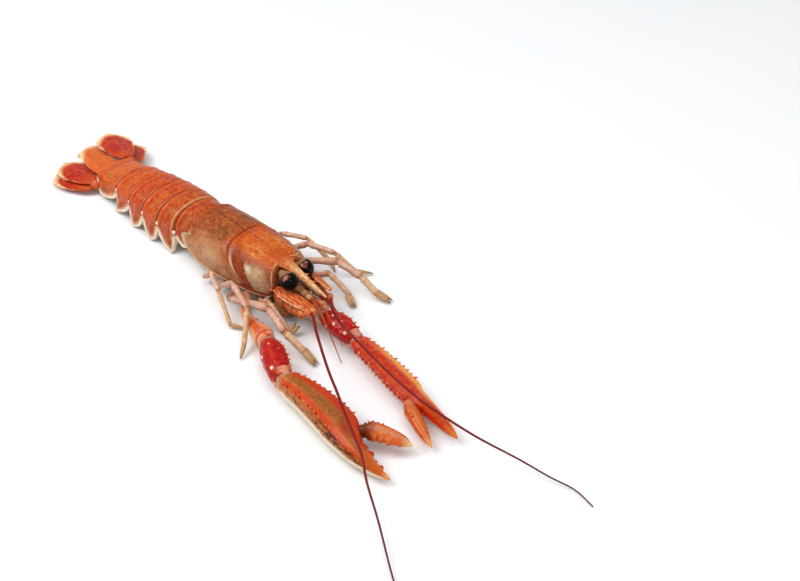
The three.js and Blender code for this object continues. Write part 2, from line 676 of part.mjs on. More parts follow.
function material(color, roughness) {
  return new THREE.MeshStandardMaterial({ color, roughness, metalness: 0 });
}

function place(name, geometry, color, roughness = 0.45, parent = langoustine) {
  const mesh = new THREE.Mesh(geometry, material(color, roughness));
  mesh.name = name;
  parent.add(mesh);
  return mesh;
}

const colours = {
  shell: '#c4622f', tail: '#cb4a22', fan: '#c73a24', eye: '#120c0c', stalk: '#c98b62', horn: '#d65a26',
  feeler: '#6d1626', wrist: '#c01a12', palm: '#cf4a1c', legs: '#dba38f', pale: '#e3c08d', mouth: '#9c6a3f',
};

place('carapace', grown(carapaceShell(), [rostrum(), ...carapaceSpines()]), colours.shell);

const tail = new THREE.Group();
langoustine.add(tail);
tailSegments.forEach((_, number) => {
  const body = tailSegment(number);
  const whole = number > 0 && number < 5 ? grown(body, swimmingLegs(number)) : body;
  place(`tail_segment_${number + 1}`, whole, colours.tail, 0.4, tail);
});

const fan = new THREE.Group();
fan.position.set(-86, -0.6, 6.6);
tail.add(fan);
place('telson', plate(point(-1.0, 0.2, 0.4), point(-24, 5.0, -2.2), telsonOutline,
  { thickness: 1.6, crown: 1.2 }), colours.fan, 0.4, fan);
place('tail_fan_inner_right', plate(point(-0.2, -8.0, -2.0), point(-23, -8.2, -3.6), fanOutline,
  { thickness: 1.0, crown: 0.7 }), colours.fan, 0.4, fan);
place('tail_fan_outer_right', plate(point(0.6, -9.8, -3.8), point(-20.8, -12.6, -5.2), fanOutline,
  { thickness: 1.0, crown: 0.5 }), colours.fan, 0.4, fan);
place('tail_fan_inner_left', plate(point(-0.4, 8.4, 2.6), point(-23, 13.8, 1.6), fanOutline,
  { thickness: 1.0, crown: 0.6, tilt: 0.1 }), colours.fan, 0.4, fan);
place('tail_fan_outer_left', plate(point(0.6, 9.8, -0.8), point(-18, 19.0, -3.4), fanOutline,
  { thickness: 1.0, crown: 0.5 }), colours.fan, 0.4, fan);

place('eye_right', eye(point(32.4, -5.7, 16.0)), colours.eye, 0.15);
place('eye_left', eye(point(29.9, 3.8, 15.4)), colours.eye, 0.15);
place('eye_stalk_right', limb([point(26.8, -3.4, 14.4), point(29.3, -4.3, 15.0)],
  [[0, 1.3, 1.3], [1, 1.3, 1.3]]), colours.stalk);
place('eye_stalk_left', limb([point(25.6, 2.2, 13.9), point(26.9, 2.8, 14.3)],
  [[0, 1.3, 1.3], [1, 1.3, 1.3]]), colours.stalk);

place('antennal_scale_right', plate(point(28.8, -8.6, 12.0), point(47.6, -6.4, 10.4), scaleOutline,
  { thickness: 0.9, crown: 0.5, columns: 4 }), colours.horn);
place('antennal_scale_left', plate(point(29.4, 6.9, 11.3), point(43.6, 3.6, 12.4), leftScaleOutline,
  { thickness: 0.9, crown: 0.4, tilt: -0.7, columns: 4 }), colours.horn);

place('antenna_base_right', antennaBase([point(28.0, -6.4, 8.4), point(33.4, -7.4, 8.2),
  point(38.6, -8.6, 8.2), point(43.6, -9.0, 8.8)]), colours.horn);
place('antenna_base_left', antennaBase([point(28.0, 6.2, 7.9), point(32.4, 6.0, 7.5),
  point(36.8, 5.0, 7.5), point(41.0, 3.5, 8.0)]), colours.horn);

place('antenna_right', feeler([point(44.5, -9.0, 9.6), point(48.5, -9.6, 12.6), point(58.7, -16.2, 13.8),
  point(75.1, -25.9, 14.0), point(84.9, -30.9, 13.6), point(92.6, -34.9, 12.9), point(99.4, -38.0, 11.4),
  point(106.1, -40.9, 9.2), point(112.9, -45.4, 6.6), point(124.2, -51.7, 3.6), point(139.7, -61.4, 1.6),
  point(148.5, -66.4, 1.0)], 0.8, 0.35, 9), colours.feeler, 0.35);
place('antenna_left', feeler([point(42.4, 4.0, 9.4), point(46.8, 0.8, 12.4), point(56, -5.2, 13.4),
  point(73.5, -10, 14.0), point(99.6, -12.9, 11.6), point(121.9, -10.3, 8), point(137.8, -5, 4),
  point(147.5, -2.5, 2), point(155.6, -0.5, 1), point(163.2, -1.7, 0.7)], 0.8, 0.3, 10),
colours.feeler, 0.35);

place('antennule_right', antennule(point(31, -2.0, 11.6), [point(41.2, -2.8, 11.0), point(46, -4.6, 11.2),
  point(51.3, -6.6, 10.2), point(56.3, -8.5, 7.8), point(61, -9.8, 3.6), point(64.4, -10.8, 0.9)]),
colours.pale);
place('antennule_left', antennule(point(31, 2.0, 11.4), [point(41.2, 1.2, 11.0), point(44.6, 3.1, 7.1),
  point(48.5, 3.6, 3.0), point(53, 3.6, 1.2), point(58, 3.2, 0.8)]), colours.pale);

place('mouth_leg_right', jointedLeg([point(21, -3.8, 2.6), point(27.4, -7.2, 2.8), point(33.2, -8.8, 3.4),
  point(34.8, -5.6, 3.8)], [1.3, 1.3, 1.1, 0.9]), colours.mouth, 0.7);
place('mouth_leg_left', jointedLeg([point(20, 0.2, 1.8), point(26.4, -2.4, 2.0), point(31.6, -4.2, 2.2),
  point(33.6, -2.6, 1.8)], [1.2, 1.2, 1.0, 0.8]), colours.mouth, 0.7);

for (const [side, claw] of Object.entries(claws)) {
  place(`claw_arm_${side}`, clawArm(claw), colours.horn);
  place(`claw_wrist_${side}`, clawWrist(claw), colours.wrist, 0.35);
  place(`claw_palm_${side}`, clawPalm(claw), colours.palm);
  place(`claw_finger_${side}`, clawFinger(claw), colours.palm);
}
rightLegs.forEach((leg, k) => place(`leg_right_${k + 1}`, walkingLeg(leg), colours.legs));
leftLegs.forEach((leg, k) => place(`leg_left_${k + 1}`, walkingLeg(leg), colours.legs));

export default langoustine;
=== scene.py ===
"""Looks of a cooked langoustine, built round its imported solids.

Lengths in the helpers are millimetres, and become metres when a mesh is made. +X points to the head,
+Y to the animal's left, +Z up, and the table is z = 0.
"""
import math

import bpy
import numpy as np
from mathutils import Matrix, Vector


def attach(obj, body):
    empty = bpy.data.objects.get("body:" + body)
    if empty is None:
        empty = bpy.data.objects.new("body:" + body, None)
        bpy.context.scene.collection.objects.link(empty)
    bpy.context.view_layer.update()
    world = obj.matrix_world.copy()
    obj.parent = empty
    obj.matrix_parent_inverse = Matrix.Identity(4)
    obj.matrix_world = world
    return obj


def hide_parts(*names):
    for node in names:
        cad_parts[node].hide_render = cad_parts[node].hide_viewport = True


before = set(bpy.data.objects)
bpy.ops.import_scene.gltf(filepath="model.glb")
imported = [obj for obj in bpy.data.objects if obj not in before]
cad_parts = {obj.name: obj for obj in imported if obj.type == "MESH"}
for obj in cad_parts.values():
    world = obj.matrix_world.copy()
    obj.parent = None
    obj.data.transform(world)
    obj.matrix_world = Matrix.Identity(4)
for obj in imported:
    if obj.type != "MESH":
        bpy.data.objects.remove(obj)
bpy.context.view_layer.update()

MM = 0.001
UP = np.array([0.0, 0.0, 1.0])
PATH_STEPS = 40          # points of a path between two of its knots
scene = bpy.context.scene


# ---- Numbers and curves ----

def unit(vectors):
    return vectors / np.linalg.norm(vectors, axis=-1, keepdims=True)


def mixed(first, second, share):
    return first + (second - first) * share


def bell(value, middle, width):
    return np.exp(-((value - middle) / width) ** 2)


def ramp_up(value, start, end):
    share = np.clip((value - start) / (end - start), 0, 1)
    return share * share * (3 - 2 * share)


def swell(angle, power):
    """Radius at an angle of the rounded square with half sides of 1 that the power gives."""
    return (np.abs(np.cos(angle)) ** power + np.abs(np.sin(angle)) ** power) ** (-1 / power)


def turned(angle, middle, width):
    """A bell round a limb: 1 at the angle middle, in radians."""
    gap = np.arctan2(np.sin(angle - middle), np.cos(angle - middle))
    return np.exp(-(gap / width) ** 2)


def through(rows, at):
    """Smooth values through rows of (position, value, ...), without overshoot between the rows."""
    rows = np.asarray(rows, float)
    place, values = rows[:, 0], rows[:, 1:]
    at = np.clip(np.asarray(at, float), place[0], place[-1])
    secant = np.diff(values, axis=0) / np.diff(place)[:, None]
    before, after = secant[:-1], secant[1:]
    same_way = before * after > 0
    inner = np.where(same_way, 2 * before * after / np.where(same_way, before + after, 1), 0)
    slope = np.vstack([secant[:1], inner, secant[-1:]])
    k = np.clip(np.searchsorted(place, at, side="right") - 1, 0, len(place) - 2)
    span = place[k + 1] - place[k]
    s = ((at - place[k]) / span)[..., None]
    entry = span[..., None] * slope[k] * s * (1 - s) ** 2
    leave = span[..., None] * slope[k + 1] * s * s * (1 - s)
    return mixed(values[k], values[k + 1], s * s * (3 - 2 * s)) + entry - leave


class Path:
    """Smooth line through points, read by the share of its length."""

    def __init__(self, points):
        knots = np.asarray(points, float)
        knots = np.vstack([2 * knots[0] - knots[1], knots, 2 * knots[-1] - knots[-2]])
        pace = np.sqrt(np.linalg.norm(np.diff(knots, axis=0), axis=1))
        line = []
        for k in range(1, len(knots) - 2):
            p0, p1, p2, p3 = knots[k - 1:k + 3]
            d0, d1, d2 = pace[k - 1:k + 2]
            leave = ((p1 - p0) / d0 - (p2 - p0) / (d0 + d1) + (p2 - p1) / d1) * d1
            reach = ((p2 - p1) / d1 - (p3 - p1) / (d1 + d2) + (p3 - p2) / d2) * d1
            s = np.linspace(0, 1, PATH_STEPS, endpoint=k == len(knots) - 3)[:, None]
            line.append(p1 + leave * s + (3 * (p2 - p1) - 2 * leave - reach) * s ** 2
                        + (2 * (p1 - p2) + leave + reach) * s ** 3)
        self.line = np.vstack(line)
        steps = np.linalg.norm(np.diff(self.line, axis=0), axis=1)
        self.run = np.concatenate([[0], np.cumsum(steps)])
        self.length = self.run[-1]

    def at(self, share):
        run = np.asarray(share, float) * self.length
        return np.stack([np.interp(run, self.run, self.line[:, k]) for k in range(3)], -1)

    def heading(self, share):
        step = 0.004
        share = np.asarray(share, float)
        return unit(self.at(np.clip(share + step, 0, 1)) - self.at(np.clip(share - step, 0, 1)))

    def frame(self, share):
        """Middle, heading, side and rise at the shares."""
        heading = self.heading(share)
        side = unit(np.cross(UP, heading))
        return self.at(share), heading, side, np.cross(heading, side)


# ---- Forms: points, faces and values painted on the points ----

class Form:
    def __init__(self, points, faces, paint):
        self.points = np.asarray(points, float)
        self.faces = faces
        self.paint = {key: np.asarray(value, float).ravel() for key, value in paint.items()}

    def plus(self, *others):
        """This form and others in one, with 0 where a form has no paint of a name."""
        forms = [self, *others]
        names = sorted({name for form in forms for name in form.paint})
        faces, start = [], 0
        for form in forms:
            faces.extend([tuple(corner + start for corner in face) for face in form.faces])
            start += len(form.points)
        paint = {name: np.concatenate([form.paint.get(name, np.zeros(len(form.points)))
                                       for form in forms]) for name in names}
        return Form(np.vstack([form.points for form in forms]), faces, paint)

    def painted(self, **values):
        for name, value in values.items():
            self.paint[name] = np.full(len(self.points), float(value))
        return self

    def outward(self):
        """Turns the faces outwards where they all point in."""
        inside = 0.0
        for face in self.faces:
            a, b, c = self.points[face[0]], self.points[face[1]], self.points[face[2]]
            inside += np.dot(a, np.cross(b, c))
            if len(face) == 4:
                inside += np.dot(a, np.cross(c, self.points[face[3]]))
        if inside < 0:
            self.faces = [tuple(reversed(face)) for face in self.faces]
        return self


def joined(forms):
    return forms[0].plus(*forms[1:])


def both_sides(half, *values):
    """Ring of a half and its mirror, and the values painted along it."""
    mirror = half[1:-1][::-1] * np.array([1, -1, 1])
    return np.vstack([half, mirror]), *[np.concatenate([value, value[1:-1][::-1]]) for value in values]


def skin(rings, **paint):
    """Closed form over rings of equal count, each end closed by a fan."""
    count, sides = rings.shape[:2]
    index = np.arange(count * sides).reshape(count, sides)
    beside = np.roll(index, -1, axis=1)
    quads = np.stack([index[:-1], beside[:-1], beside[1:], index[1:]], -1).reshape(-1, 4)
    faces = [tuple(quad) for quad in quads.tolist()]
    points = np.vstack([rings.reshape(-1, 3), rings[0].mean(0), rings[-1].mean(0)])
    for ring, middle, turn in ((0, count * sides, -1), (-1, count * sides + 1, 1)):
        for a, b in zip(index[ring].tolist(), beside[ring].tolist()):
            faces.append((a, b, middle)[::turn])
    values = {}
    for name, value in paint.items():
        value = np.broadcast_to(value, (count, sides))
        values[name] = np.concatenate([value.ravel(), [value[0].mean(), value[-1].mean()]])
    return Form(points, faces, values).outward()


def round_angles(count):
    return np.linspace(0, 2 * np.pi, count, endpoint=False)


def round_shares(count, ends):
    """Shares of a length, closer together towards both ends."""
    even = np.linspace(0, 1, count)
    return mixed(even, 0.5 - 0.5 * np.cos(np.pi * even), ends)


def sweep(points, sizes, sides, rings, power=2.0, relief=None, ends=0.12):
    """Limb along points; sizes are rows of (share, half width, half height).

    relief(angle, share) gives how far the skin stands out. The paint is the share of the length,
    along, and the angle round the limb, turn: 0 at its left, a quarter circle further on top."""
    path = points if isinstance(points, Path) else Path(points)
    share = round_shares(rings, ends)
    middle, _, side, rise = path.frame(share)
    size = through(sizes, share)
    angle = round_angles(sides)
    grid_angle, grid_share = np.meshgrid(angle, share)
    proud = relief(grid_angle, grid_share) if relief else np.zeros_like(grid_angle)
    wide = np.cos(angle) * (size[:, :1] * swell(angle, power) + proud)
    high = np.sin(angle) * (size[:, 1:2] * swell(angle, power) + proud)
    ring = middle[:, None] + side[:, None] * wide[..., None] + rise[:, None] * high[..., None]
    return skin(ring, along=grid_share, turn=grid_angle)


def ball(middle, radii, sides, rings):
    """Egg with its poles above and below."""
    polar = np.linspace(0.02, np.pi - 0.02, rings)
    angle = round_angles(sides)
    angle, polar = np.meshgrid(angle, polar)
    shape = np.stack([np.sin(polar) * np.cos(angle), np.sin(polar) * np.sin(angle), np.cos(polar)], -1)
    return skin(shape * np.asarray(radii) + np.asarray(middle, float), along=polar / np.pi, turn=angle)


def row_on(points, sizes, angle, shares, lean, power=2.0):
    """Feet and directions of what stands in a row on a limb, at one angle round it."""
    middle, heading, side, rise = Path(points).frame(shares)
    size = through(sizes, shares) * swell(angle, power)
    across, height = np.cos(angle), np.sin(angle)
    feet = middle + side * (across * size[:, :1]) + rise * (height * size[:, 1:2])
    facing = unit(side * across + rise * height + heading * lean)
    return feet, facing


# ---- Node trees ----

def find_socket(sockets, key):
    """Socket by its number, its name among those in use, or its identifier."""
    if isinstance(key, int):
        return sockets[key]
    for socket in sockets:
        if socket.name == key and socket.enabled:
            return socket
    return next(socket for socket in sockets if socket.identifier == key)


def operator(operation):
    """The two methods of an operator: the wire stands before it or, reflected, behind it."""
    return (lambda wire, other: wire.math(operation, wire, other),
            lambda wire, other: wire.math(operation, other, wire))


class Wire:
    """An output of a node, on which an expression adds its Math nodes."""

    def __init__(self, graph, node, output):
        self.graph, self.node = graph, node
        self.socket = None if output is None else find_socket(node.outputs, output)

    def out(self, output):
        return Wire(self.graph, self.node, output)

    def math(self, operation, *values):
        return self.graph.node("ShaderNodeMath", {"operation": operation}, dict(enumerate(values)))

    __add__, __radd__ = operator("ADD")
    __sub__, __rsub__ = operator("SUBTRACT")
    __mul__, __rmul__ = operator("MULTIPLY")
    __truediv__, __rtruediv__ = operator("DIVIDE")

    def sine(self):
        return self.math("SINE", self)

    def size(self):
        return self.math("ABSOLUTE", self)

    def least(self, other):
        return self.math("MINIMUM", self, other)

    def rising(self, start, end):
        """0 up to start, 1 from end, smooth between; start may be the higher one."""
        low, high = min(start, end), max(start, end)
        ends = (0.0, 1.0) if start < end else (1.0, 0.0)
        return self.graph.node("ShaderNodeMapRange", {"interpolation_type": "SMOOTHSTEP"}, {
            "Value": self, "From Min": low, "From Max": high, "To Min": ends[0], "To Max": ends[1]})

    def near(self, middle, width):
        """1 at middle, falling to 0 at the distance width."""
        return (self - middle).size().rising(width, 0.0)


class Graph:
    def __init__(self, tree):
        self.tree = tree

    def node(self, kind, settings=None, sockets=None, output=0):
        made = self.tree.nodes.new(kind)
        for key, value in (settings or {}).items():
            if key == "stops":
                self._set_stops(made.color_ramp, value)
            else:
                setattr(made, key, value)
        for key, value in (sockets or {}).items():
            target = find_socket(made.inputs, key)
            if isinstance(value, Wire):
                self.tree.links.new(value.socket, target)
            else:
                target.default_value = value
        return Wire(self, made, output)

    @staticmethod
    def _set_stops(ramp, stops):
        while len(ramp.elements) < len(stops):
            ramp.elements.new(0.5)
        for element, (place, color) in zip(ramp.elements, stops):
            element.position = place
            element.color = color


GLOSS = 0.022           # light that the gloss of a wet surface adds to its colour
SHEEN = 0.12            # strength of the plain reflection under the coat
FLESH = {"subsurface_weight": 0.1, "subsurface_scale": 0.001}       # light that enters the shell


def paint(code):
    """Linear colour of a #rrggbb code as it is seen, less what the gloss adds to it."""
    parts = [int(code[k:k + 2], 16) / 255 for k in (1, 3, 5)]
    linear = [v / 12.92 if v <= 0.04045 else ((v + 0.055) / 1.055) ** 2.4 for v in parts]
    return (*[max(v - GLOSS, v * 0.12) * 0.94 for v in linear], 1.0)


class Finish(Graph):
    """One procedural material. Noise scales are in features per millimetre."""

    def __init__(self, name):
        self.material = bpy.data.materials.new(name)
        self.material.use_nodes = True
        super().__init__(self.material.node_tree)
        self.tree.nodes.clear()
        place = self.node("ShaderNodeTexCoord", output="Object")
        self.place = self.node("ShaderNodeVectorMath", {"operation": "SCALE"},
                               {"Vector": place, "Scale": 1 / MM})

    def value(self, name):
        return self.node("ShaderNodeAttribute", {"attribute_name": name}, output="Fac")

    def values(self, *names):
        return [self.value(name) for name in names]

    def noise(self, scale, detail=2.0, roughness=0.5, stretch=None):
        at = self.place
        if stretch:
            at = self.node("ShaderNodeVectorMath", {"operation": "MULTIPLY"}, {0: at, 1: stretch})
        return self.node("ShaderNodeTexNoise", {}, {
            "Vector": at, "Scale": scale, "Detail": detail, "Roughness": roughness}, "Fac")

    def cells(self, scale):
        return self.node("ShaderNodeTexVoronoi", {}, {"Vector": self.place, "Scale": scale}, "Distance")

    def ramp(self, value, *stops):
        stops = [(place, paint(code)) for place, code in stops]
        return self.node("ShaderNodeValToRGB", {"stops": stops}, {"Fac": value}, "Color")

    def mix(self, share, first, second):
        first, second = (paint(c) if isinstance(c, str) else c for c in (first, second))
        return self.node("ShaderNodeMix", {"data_type": "RGBA"}, {
            "Factor_Float": share, "A_Color": first, "B_Color": second}, "Result_Color")

    def layers(self, base, *coats):
        """Coats of (share, colour) laid one over the other."""
        color = base
        for share, code in coats:
            color = self.mix(share, color, code)
        return color

    def surface(self, color, roughness, coat=0.0, bump=None, depth=0.1, **fixed):
        """depth is the height of the bump in millimetres; fixed are the shader's even values."""
        sockets = {"Base Color": color, "Roughness": roughness, "Coat Weight": coat,
                   "Specular IOR Level": SHEEN}
        if bump is not None:
            sockets["Normal"] = self.node("ShaderNodeBump", {}, {
                "Strength": 1.0, "Distance": depth * MM, "Height": bump}, "Normal")
        sockets.update({key.replace("_", " ").title(): value for key, value in fixed.items()})
        shader = self.node("ShaderNodeBsdfPrincipled", {}, sockets, "BSDF")
        self.node("ShaderNodeOutputMaterial", {}, {"Surface": shader}, None)
        return self.material


# ---- Pieces ----

def mesh_of(name, points, faces, values):
    """Mesh of points in millimetres, with a value or a direction painted on each of them."""
    mesh = bpy.data.meshes.new(name)
    mesh.from_pydata((points * MM).tolist(), [], faces)
    for key, value in values.items():
        kind, member = ("FLOAT_VECTOR", "vector") if value.ndim > 1 else ("FLOAT", "value")
        mesh.attributes.new(key, kind, "POINT").data.foreach_set(member, value.ravel())
    return mesh


def dressed(name, mesh, finish):
    mesh.polygons.foreach_set("use_smooth", np.ones(len(mesh.polygons), bool))
    mesh.update()
    made = bpy.data.objects.new(name, mesh)
    scene.collection.objects.link(made)
    if not mesh.materials:
        mesh.materials.append(finish)
    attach(made, "root")
    return made


def piece(node, form, finish):
    """Makes the visible piece that takes the place of a solid."""
    name = f"{node}_skin"
    made = dressed(name, mesh_of(name, form.points, form.faces, form.paint), finish)
    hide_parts(node)


class Grower(Graph):
    """A Geometry Nodes tree with named inputs."""

    def __init__(self, name, inputs):
        tree = bpy.data.node_groups.new(name, "GeometryNodeTree")
        super().__init__(tree)
        tree.interface.new_socket(name="Geometry", in_out="INPUT", socket_type="NodeSocketGeometry")
        for key, kind in inputs.items():
            tree.interface.new_socket(name=key, in_out="INPUT", socket_type=f"NodeSocket{kind}")
        tree.interface.new_socket(name="Geometry", in_out="OUTPUT", socket_type="NodeSocketGeometry")
        self.start = tree.nodes.new("NodeGroupInput")

    def input(self, name):
        return Wire(self, self.start, name)

    def named(self, name, kind="FLOAT"):
        return self.node("GeometryNodeInputNamedAttribute", {"data_type": kind}, {"Name": name}, "Attribute")

    def end(self, geometry):
        """Realizes what was made, gives it its material and closes the tree."""
        real = self.node("GeometryNodeRealizeInstances", {}, {"Geometry": geometry}, "Geometry")
        smooth = self.node("GeometryNodeSetShadeSmooth", {}, {"Geometry": real}, "Geometry")
        done = self.node("GeometryNodeSetMaterial", {}, {
            "Geometry": smooth, "Material": self.input("Material")}, "Geometry")
        out = self.tree.nodes.new("NodeGroupOutput")
        self.tree.links.new(done.socket, out.inputs[0])
        return self.tree


def spike_shape(grower, sides=7, rows=4):
    """Unit spike on +Z: foot at the origin, tip at 1, its lean and its hollow flank from the inputs."""
    cone = grower.node("GeometryNodeMeshCone", {"fill_type": "TRIANGLE_FAN"}, {
        "Vertices": sides, "Side Segments": rows, "Fill Segments": 1, "Radius Top": 0.03,
        "Radius Bottom": 1.0, "Depth": 1.0}, "Mesh")
    place = grower.node("GeometryNodeInputPosition")
    split = grower.node("ShaderNodeSeparateXYZ", {}, {"Vector": place}, "X")
    height = split.out("Z")
    slim = 1.0 - grower.input("Hollow") * height * (1.0 - height)
    x = split * slim + grower.input("Bend") * height * height
    bent = grower.node("ShaderNodeCombineXYZ", {}, {"X": x, "Y": split.out("Y") * slim, "Z": height})
    return grower.node("GeometryNodeSetPosition", {}, {"Geometry": cone, "Position": bent}, "Geometry")


def aligned(grower, facing):
    """Turn that stands +Z along facing, with a random turn about it."""
    up = grower.node("FunctionNodeAlignRotationToVector", {"axis": "Z"}, {"Vector": facing}, "Rotation")
    lean = grower.node("FunctionNodeRandomValue", {"data_type": "FLOAT_VECTOR"}, {
        "Min": (-1, -1, 0), "Max": (1, 1, 0), "Seed": grower.input("Seed")}, "Value")
    spread = grower.node("ShaderNodeVectorMath", {"operation": "SCALE"}, {
        "Vector": lean, "Scale": grower.input("Spread")})
    turn = grower.node("FunctionNodeEulerToRotation", {}, {"Euler": spread}, "Rotation")
    return grower.node("FunctionNodeRotateRotation", {"rotation_space": "LOCAL"}, {
        "Rotation": up, "Rotate By": turn}, "Rotation")


def standing_tree(name, shape, **inputs):
    """Shapes on given points that carry their facing, length and radius."""
    grower = Grower(name, {"Material": "Material", "Seed": "Int", "Spread": "Float", **inputs})
    radius = grower.named("radius")
    scale = grower.node("ShaderNodeCombineXYZ", {}, {"X": radius, "Y": radius, "Z": grower.named("length")})
    put = grower.node("GeometryNodeInstanceOnPoints", {}, {
        "Points": grower.input("Geometry"), "Instance": shape(grower),
        "Rotation": aligned(grower, grower.named("facing", "FLOAT_VECTOR")), "Scale": scale}, "Instances")
    return grower.end(put)


def bead_shape(grower):
    return grower.node("GeometryNodeMeshIcoSphere", {}, {"Radius": 1.0, "Subdivisions": 2}, "Mesh")


def coat_tree():
    """Hairs or grains scattered over a surface where its painted value coat is high."""
    grower = Grower("coat_on_surface", {
        "Material": "Material", "Seed": "Int", "Spread": "Float", "Bend": "Float", "Hollow": "Float",
        "Density": "Float", "Length": "Float", "Radius": "Float", "Comb": "Vector"})
    spots = grower.node("GeometryNodeDistributePointsOnFaces", {}, {
        "Mesh": grower.input("Geometry"), "Density": grower.named("coat") * grower.input("Density"),
        "Seed": grower.input("Seed")}, "Points")
    facing = grower.node("ShaderNodeVectorMath", {"operation": "ADD"}, {
        0: spots.out("Normal"), 1: grower.input("Comb")})
    jitter = grower.node("FunctionNodeRandomValue", {"data_type": "FLOAT"}, {
        "Min": 0.6, "Max": 1.2, "Seed": grower.input("Seed")}, "Value")
    radius = grower.input("Radius") * jitter
    scale = grower.node("ShaderNodeCombineXYZ", {}, {
        "X": radius, "Y": radius, "Z": grower.input("Length") * jitter})
    put = grower.node("GeometryNodeInstanceOnPoints", {}, {
        "Points": spots, "Instance": spike_shape(grower, 4, 3),
        "Rotation": aligned(grower, facing), "Scale": scale}, "Instances")
    return grower.end(put)


def grown(name, base_mesh, tree, finish, slot, **values):
    """Runs a tree on a mesh, and makes a piece of the plain mesh that comes out."""
    base = bpy.data.objects.new(name, base_mesh)
    scene.collection.objects.link(base)
    modifier = base.modifiers.new(name, "NODES")
    modifier.node_group = tree
    values["Material"] = finish
    for socket in tree.interface.items_tree:
        if socket.in_out == "INPUT" and socket.name in values:
            modifier[socket.identifier] = values[socket.name]
    evaluated = base.evaluated_get(bpy.context.evaluated_depsgraph_get())
    mesh = bpy.data.meshes.new_from_object(evaluated)
    mesh.name = name
    base.modifiers.clear()
    bpy.data.objects.remove(base)
    dressed(name, mesh, finish)


def stand(name, rows, tree, finish, slot, **values):
    """Spikes or beads on rows of (feet, facing, length, radius)."""
    feet, facing = (np.vstack([row[k] for row in rows]) for k in (0, 1))
    length, radius = (MM * np.concatenate([np.broadcast_to(row[k], len(row[0])) for row in rows])
                      for k in (2, 3))
    mesh = mesh_of(name, feet, [], {"facing": facing, "length": length, "radius": radius})
    grown(name, mesh, tree, finish, slot, **values)


# ---- Carapace ----

SQUARENESS = 2.3
WIDEST = 9.0
BACK_RISE = 10.8
BELLY = 4.0

# x, half width, top of the back, lower edge of the side.
SHELL_SIZES = [
    (-23, 11.7, 19.5, 4.2), (-10, 12.7, 20.1, 3.6), (2, 13.2, 19.9, 4.6), (12, 12.6, 19.6, 5.2),
    (19, 11.3, 19.1, 5.6), (26, 9.2, 17.6, 6.2), (30, 8.6, 17.0, 6.6)]
# Lines round the carapace, each as height and x.
REAR_RIM = [(0, -11.5), (3, -14), (5.6, -18.2), (9, -21.8), (12, -22.6), (14.2, -18.6), (20, -18.5)]
GROOVE_LINE = [(0, 15.5), (3, 15), (7, 13.8), (10, 11.8), (12.3, 8.1), (15.2, 4.9), (18, 2.7), (20, 1.9)]
FRONT_RIM = [(0, 20), (3, 23), (6.3, 25.2), (12, 27), (17.6, 25), (19, 24.4)]
# Chest: x, height of its underside, share of its full width.
CHEST_SIZES = [(-14, 3.2, 0.8), (-9.5, 0, 1), (12.5, 0, 1), (19, 2.6, 0.6), (24, 5.2, 0.5)]
HOLLOW_FLOOR_X = -16.4
UNDER_POINTS, SIDE_STEPS, BACK_STEPS = 8, 14, 54         # points of half a ring
SIDE_SHARE = 0.3                 # part of the painted turn that lies below the widest height

# Rostrum: x, y, z of its middle, half width, half height.
ROSTRUM = [
    (7, 0, 17.4, 5.0, 0.9), (14, -0.1, 17.8, 4.9, 1.5), (20, -0.2, 17.6, 4.2, 1.7),
    (25, -0.4, 17.2, 2.9, 1.45), (31, -0.7, 16.7, 1.7, 1.0), (38, -0.95, 15.6, 1.1, 0.75),
    (44, -1.1, 14.5, 0.6, 0.5), (47.2, -1.2, 14.1, 0.12, 0.12)]


def line_at(line, height):
    return through(line, height)[..., 0]


def shell_line(along):
    """Line x(height) round the carapace: 0 at its rear rim, 1 in the groove, 2 at its front rim."""
    start, end = (REAR_RIM, GROOVE_LINE) if along <= 1 else (GROOVE_LINE, FRONT_RIM)
    share = along if along <= 1 else along - 1
    return lambda height: mixed(line_at(start, height), line_at(end, height), share)


def shell_sink(along, turn):
    """How far the carapace stands in from its plain form, in mm: grooves are high, ridges low."""
    front = ramp_up(along, 1.02, 1.1)
    rear = 1 - ramp_up(along, 0.9, 0.97)
    groove = 0.75 * bell(along, 1.0, 0.022) + 0.25 * bell(along, 0.985, 0.07)
    lip = -0.3 * bell(along, 1.045, 0.022) * (1 - ramp_up(turn, 0.75, 0.95))
    rim = (0.32 * bell(along, 0.055, 0.013) - 0.2 * bell(along, 0.02, 0.016)
           - 0.12 * bell(along, 0.085, 0.014))
    margin = 0.25 * bell(turn, 0.075, 0.02) - 0.25 * bell(turn, 0.03, 0.03)
    keel = (-0.28 * bell(turn, 1.0, 0.012) + 0.14 * bell(turn, 0.975, 0.012)) * rear
    crest = -0.3 * bell(turn, 1.0, 0.014) * front
    ridges = 0.0
    for place, start in ((0.9, 1.3), (0.8, 1.42)):
        middle = place - 0.03 * (along - 1.3)
        ridges = ridges - 0.28 * bell(turn, middle, 0.013) * ramp_up(along, start, start + 0.15)
    cheek = -0.45 * bell(along, 1.62, 0.22) * bell(turn, 0.42, 0.14)
    crease = 0.35 * bell(turn, 0.2 + 0.1 * (along - 1.1), 0.018)
    crease = crease * ramp_up(along, 1.05, 1.2) * (1 - ramp_up(along, 1.6, 1.9))
    flank = 0.3 * bell(along, 0.55, 0.3) * bell(turn, 0.3, 0.16)
    dents = 0.07 * np.sin(9 * along + 14 * turn) * np.sin(17 * along - 9 * turn)
    return groove + lip + rim + margin + keel + crest + ridges + cheek + crease + flank + dents


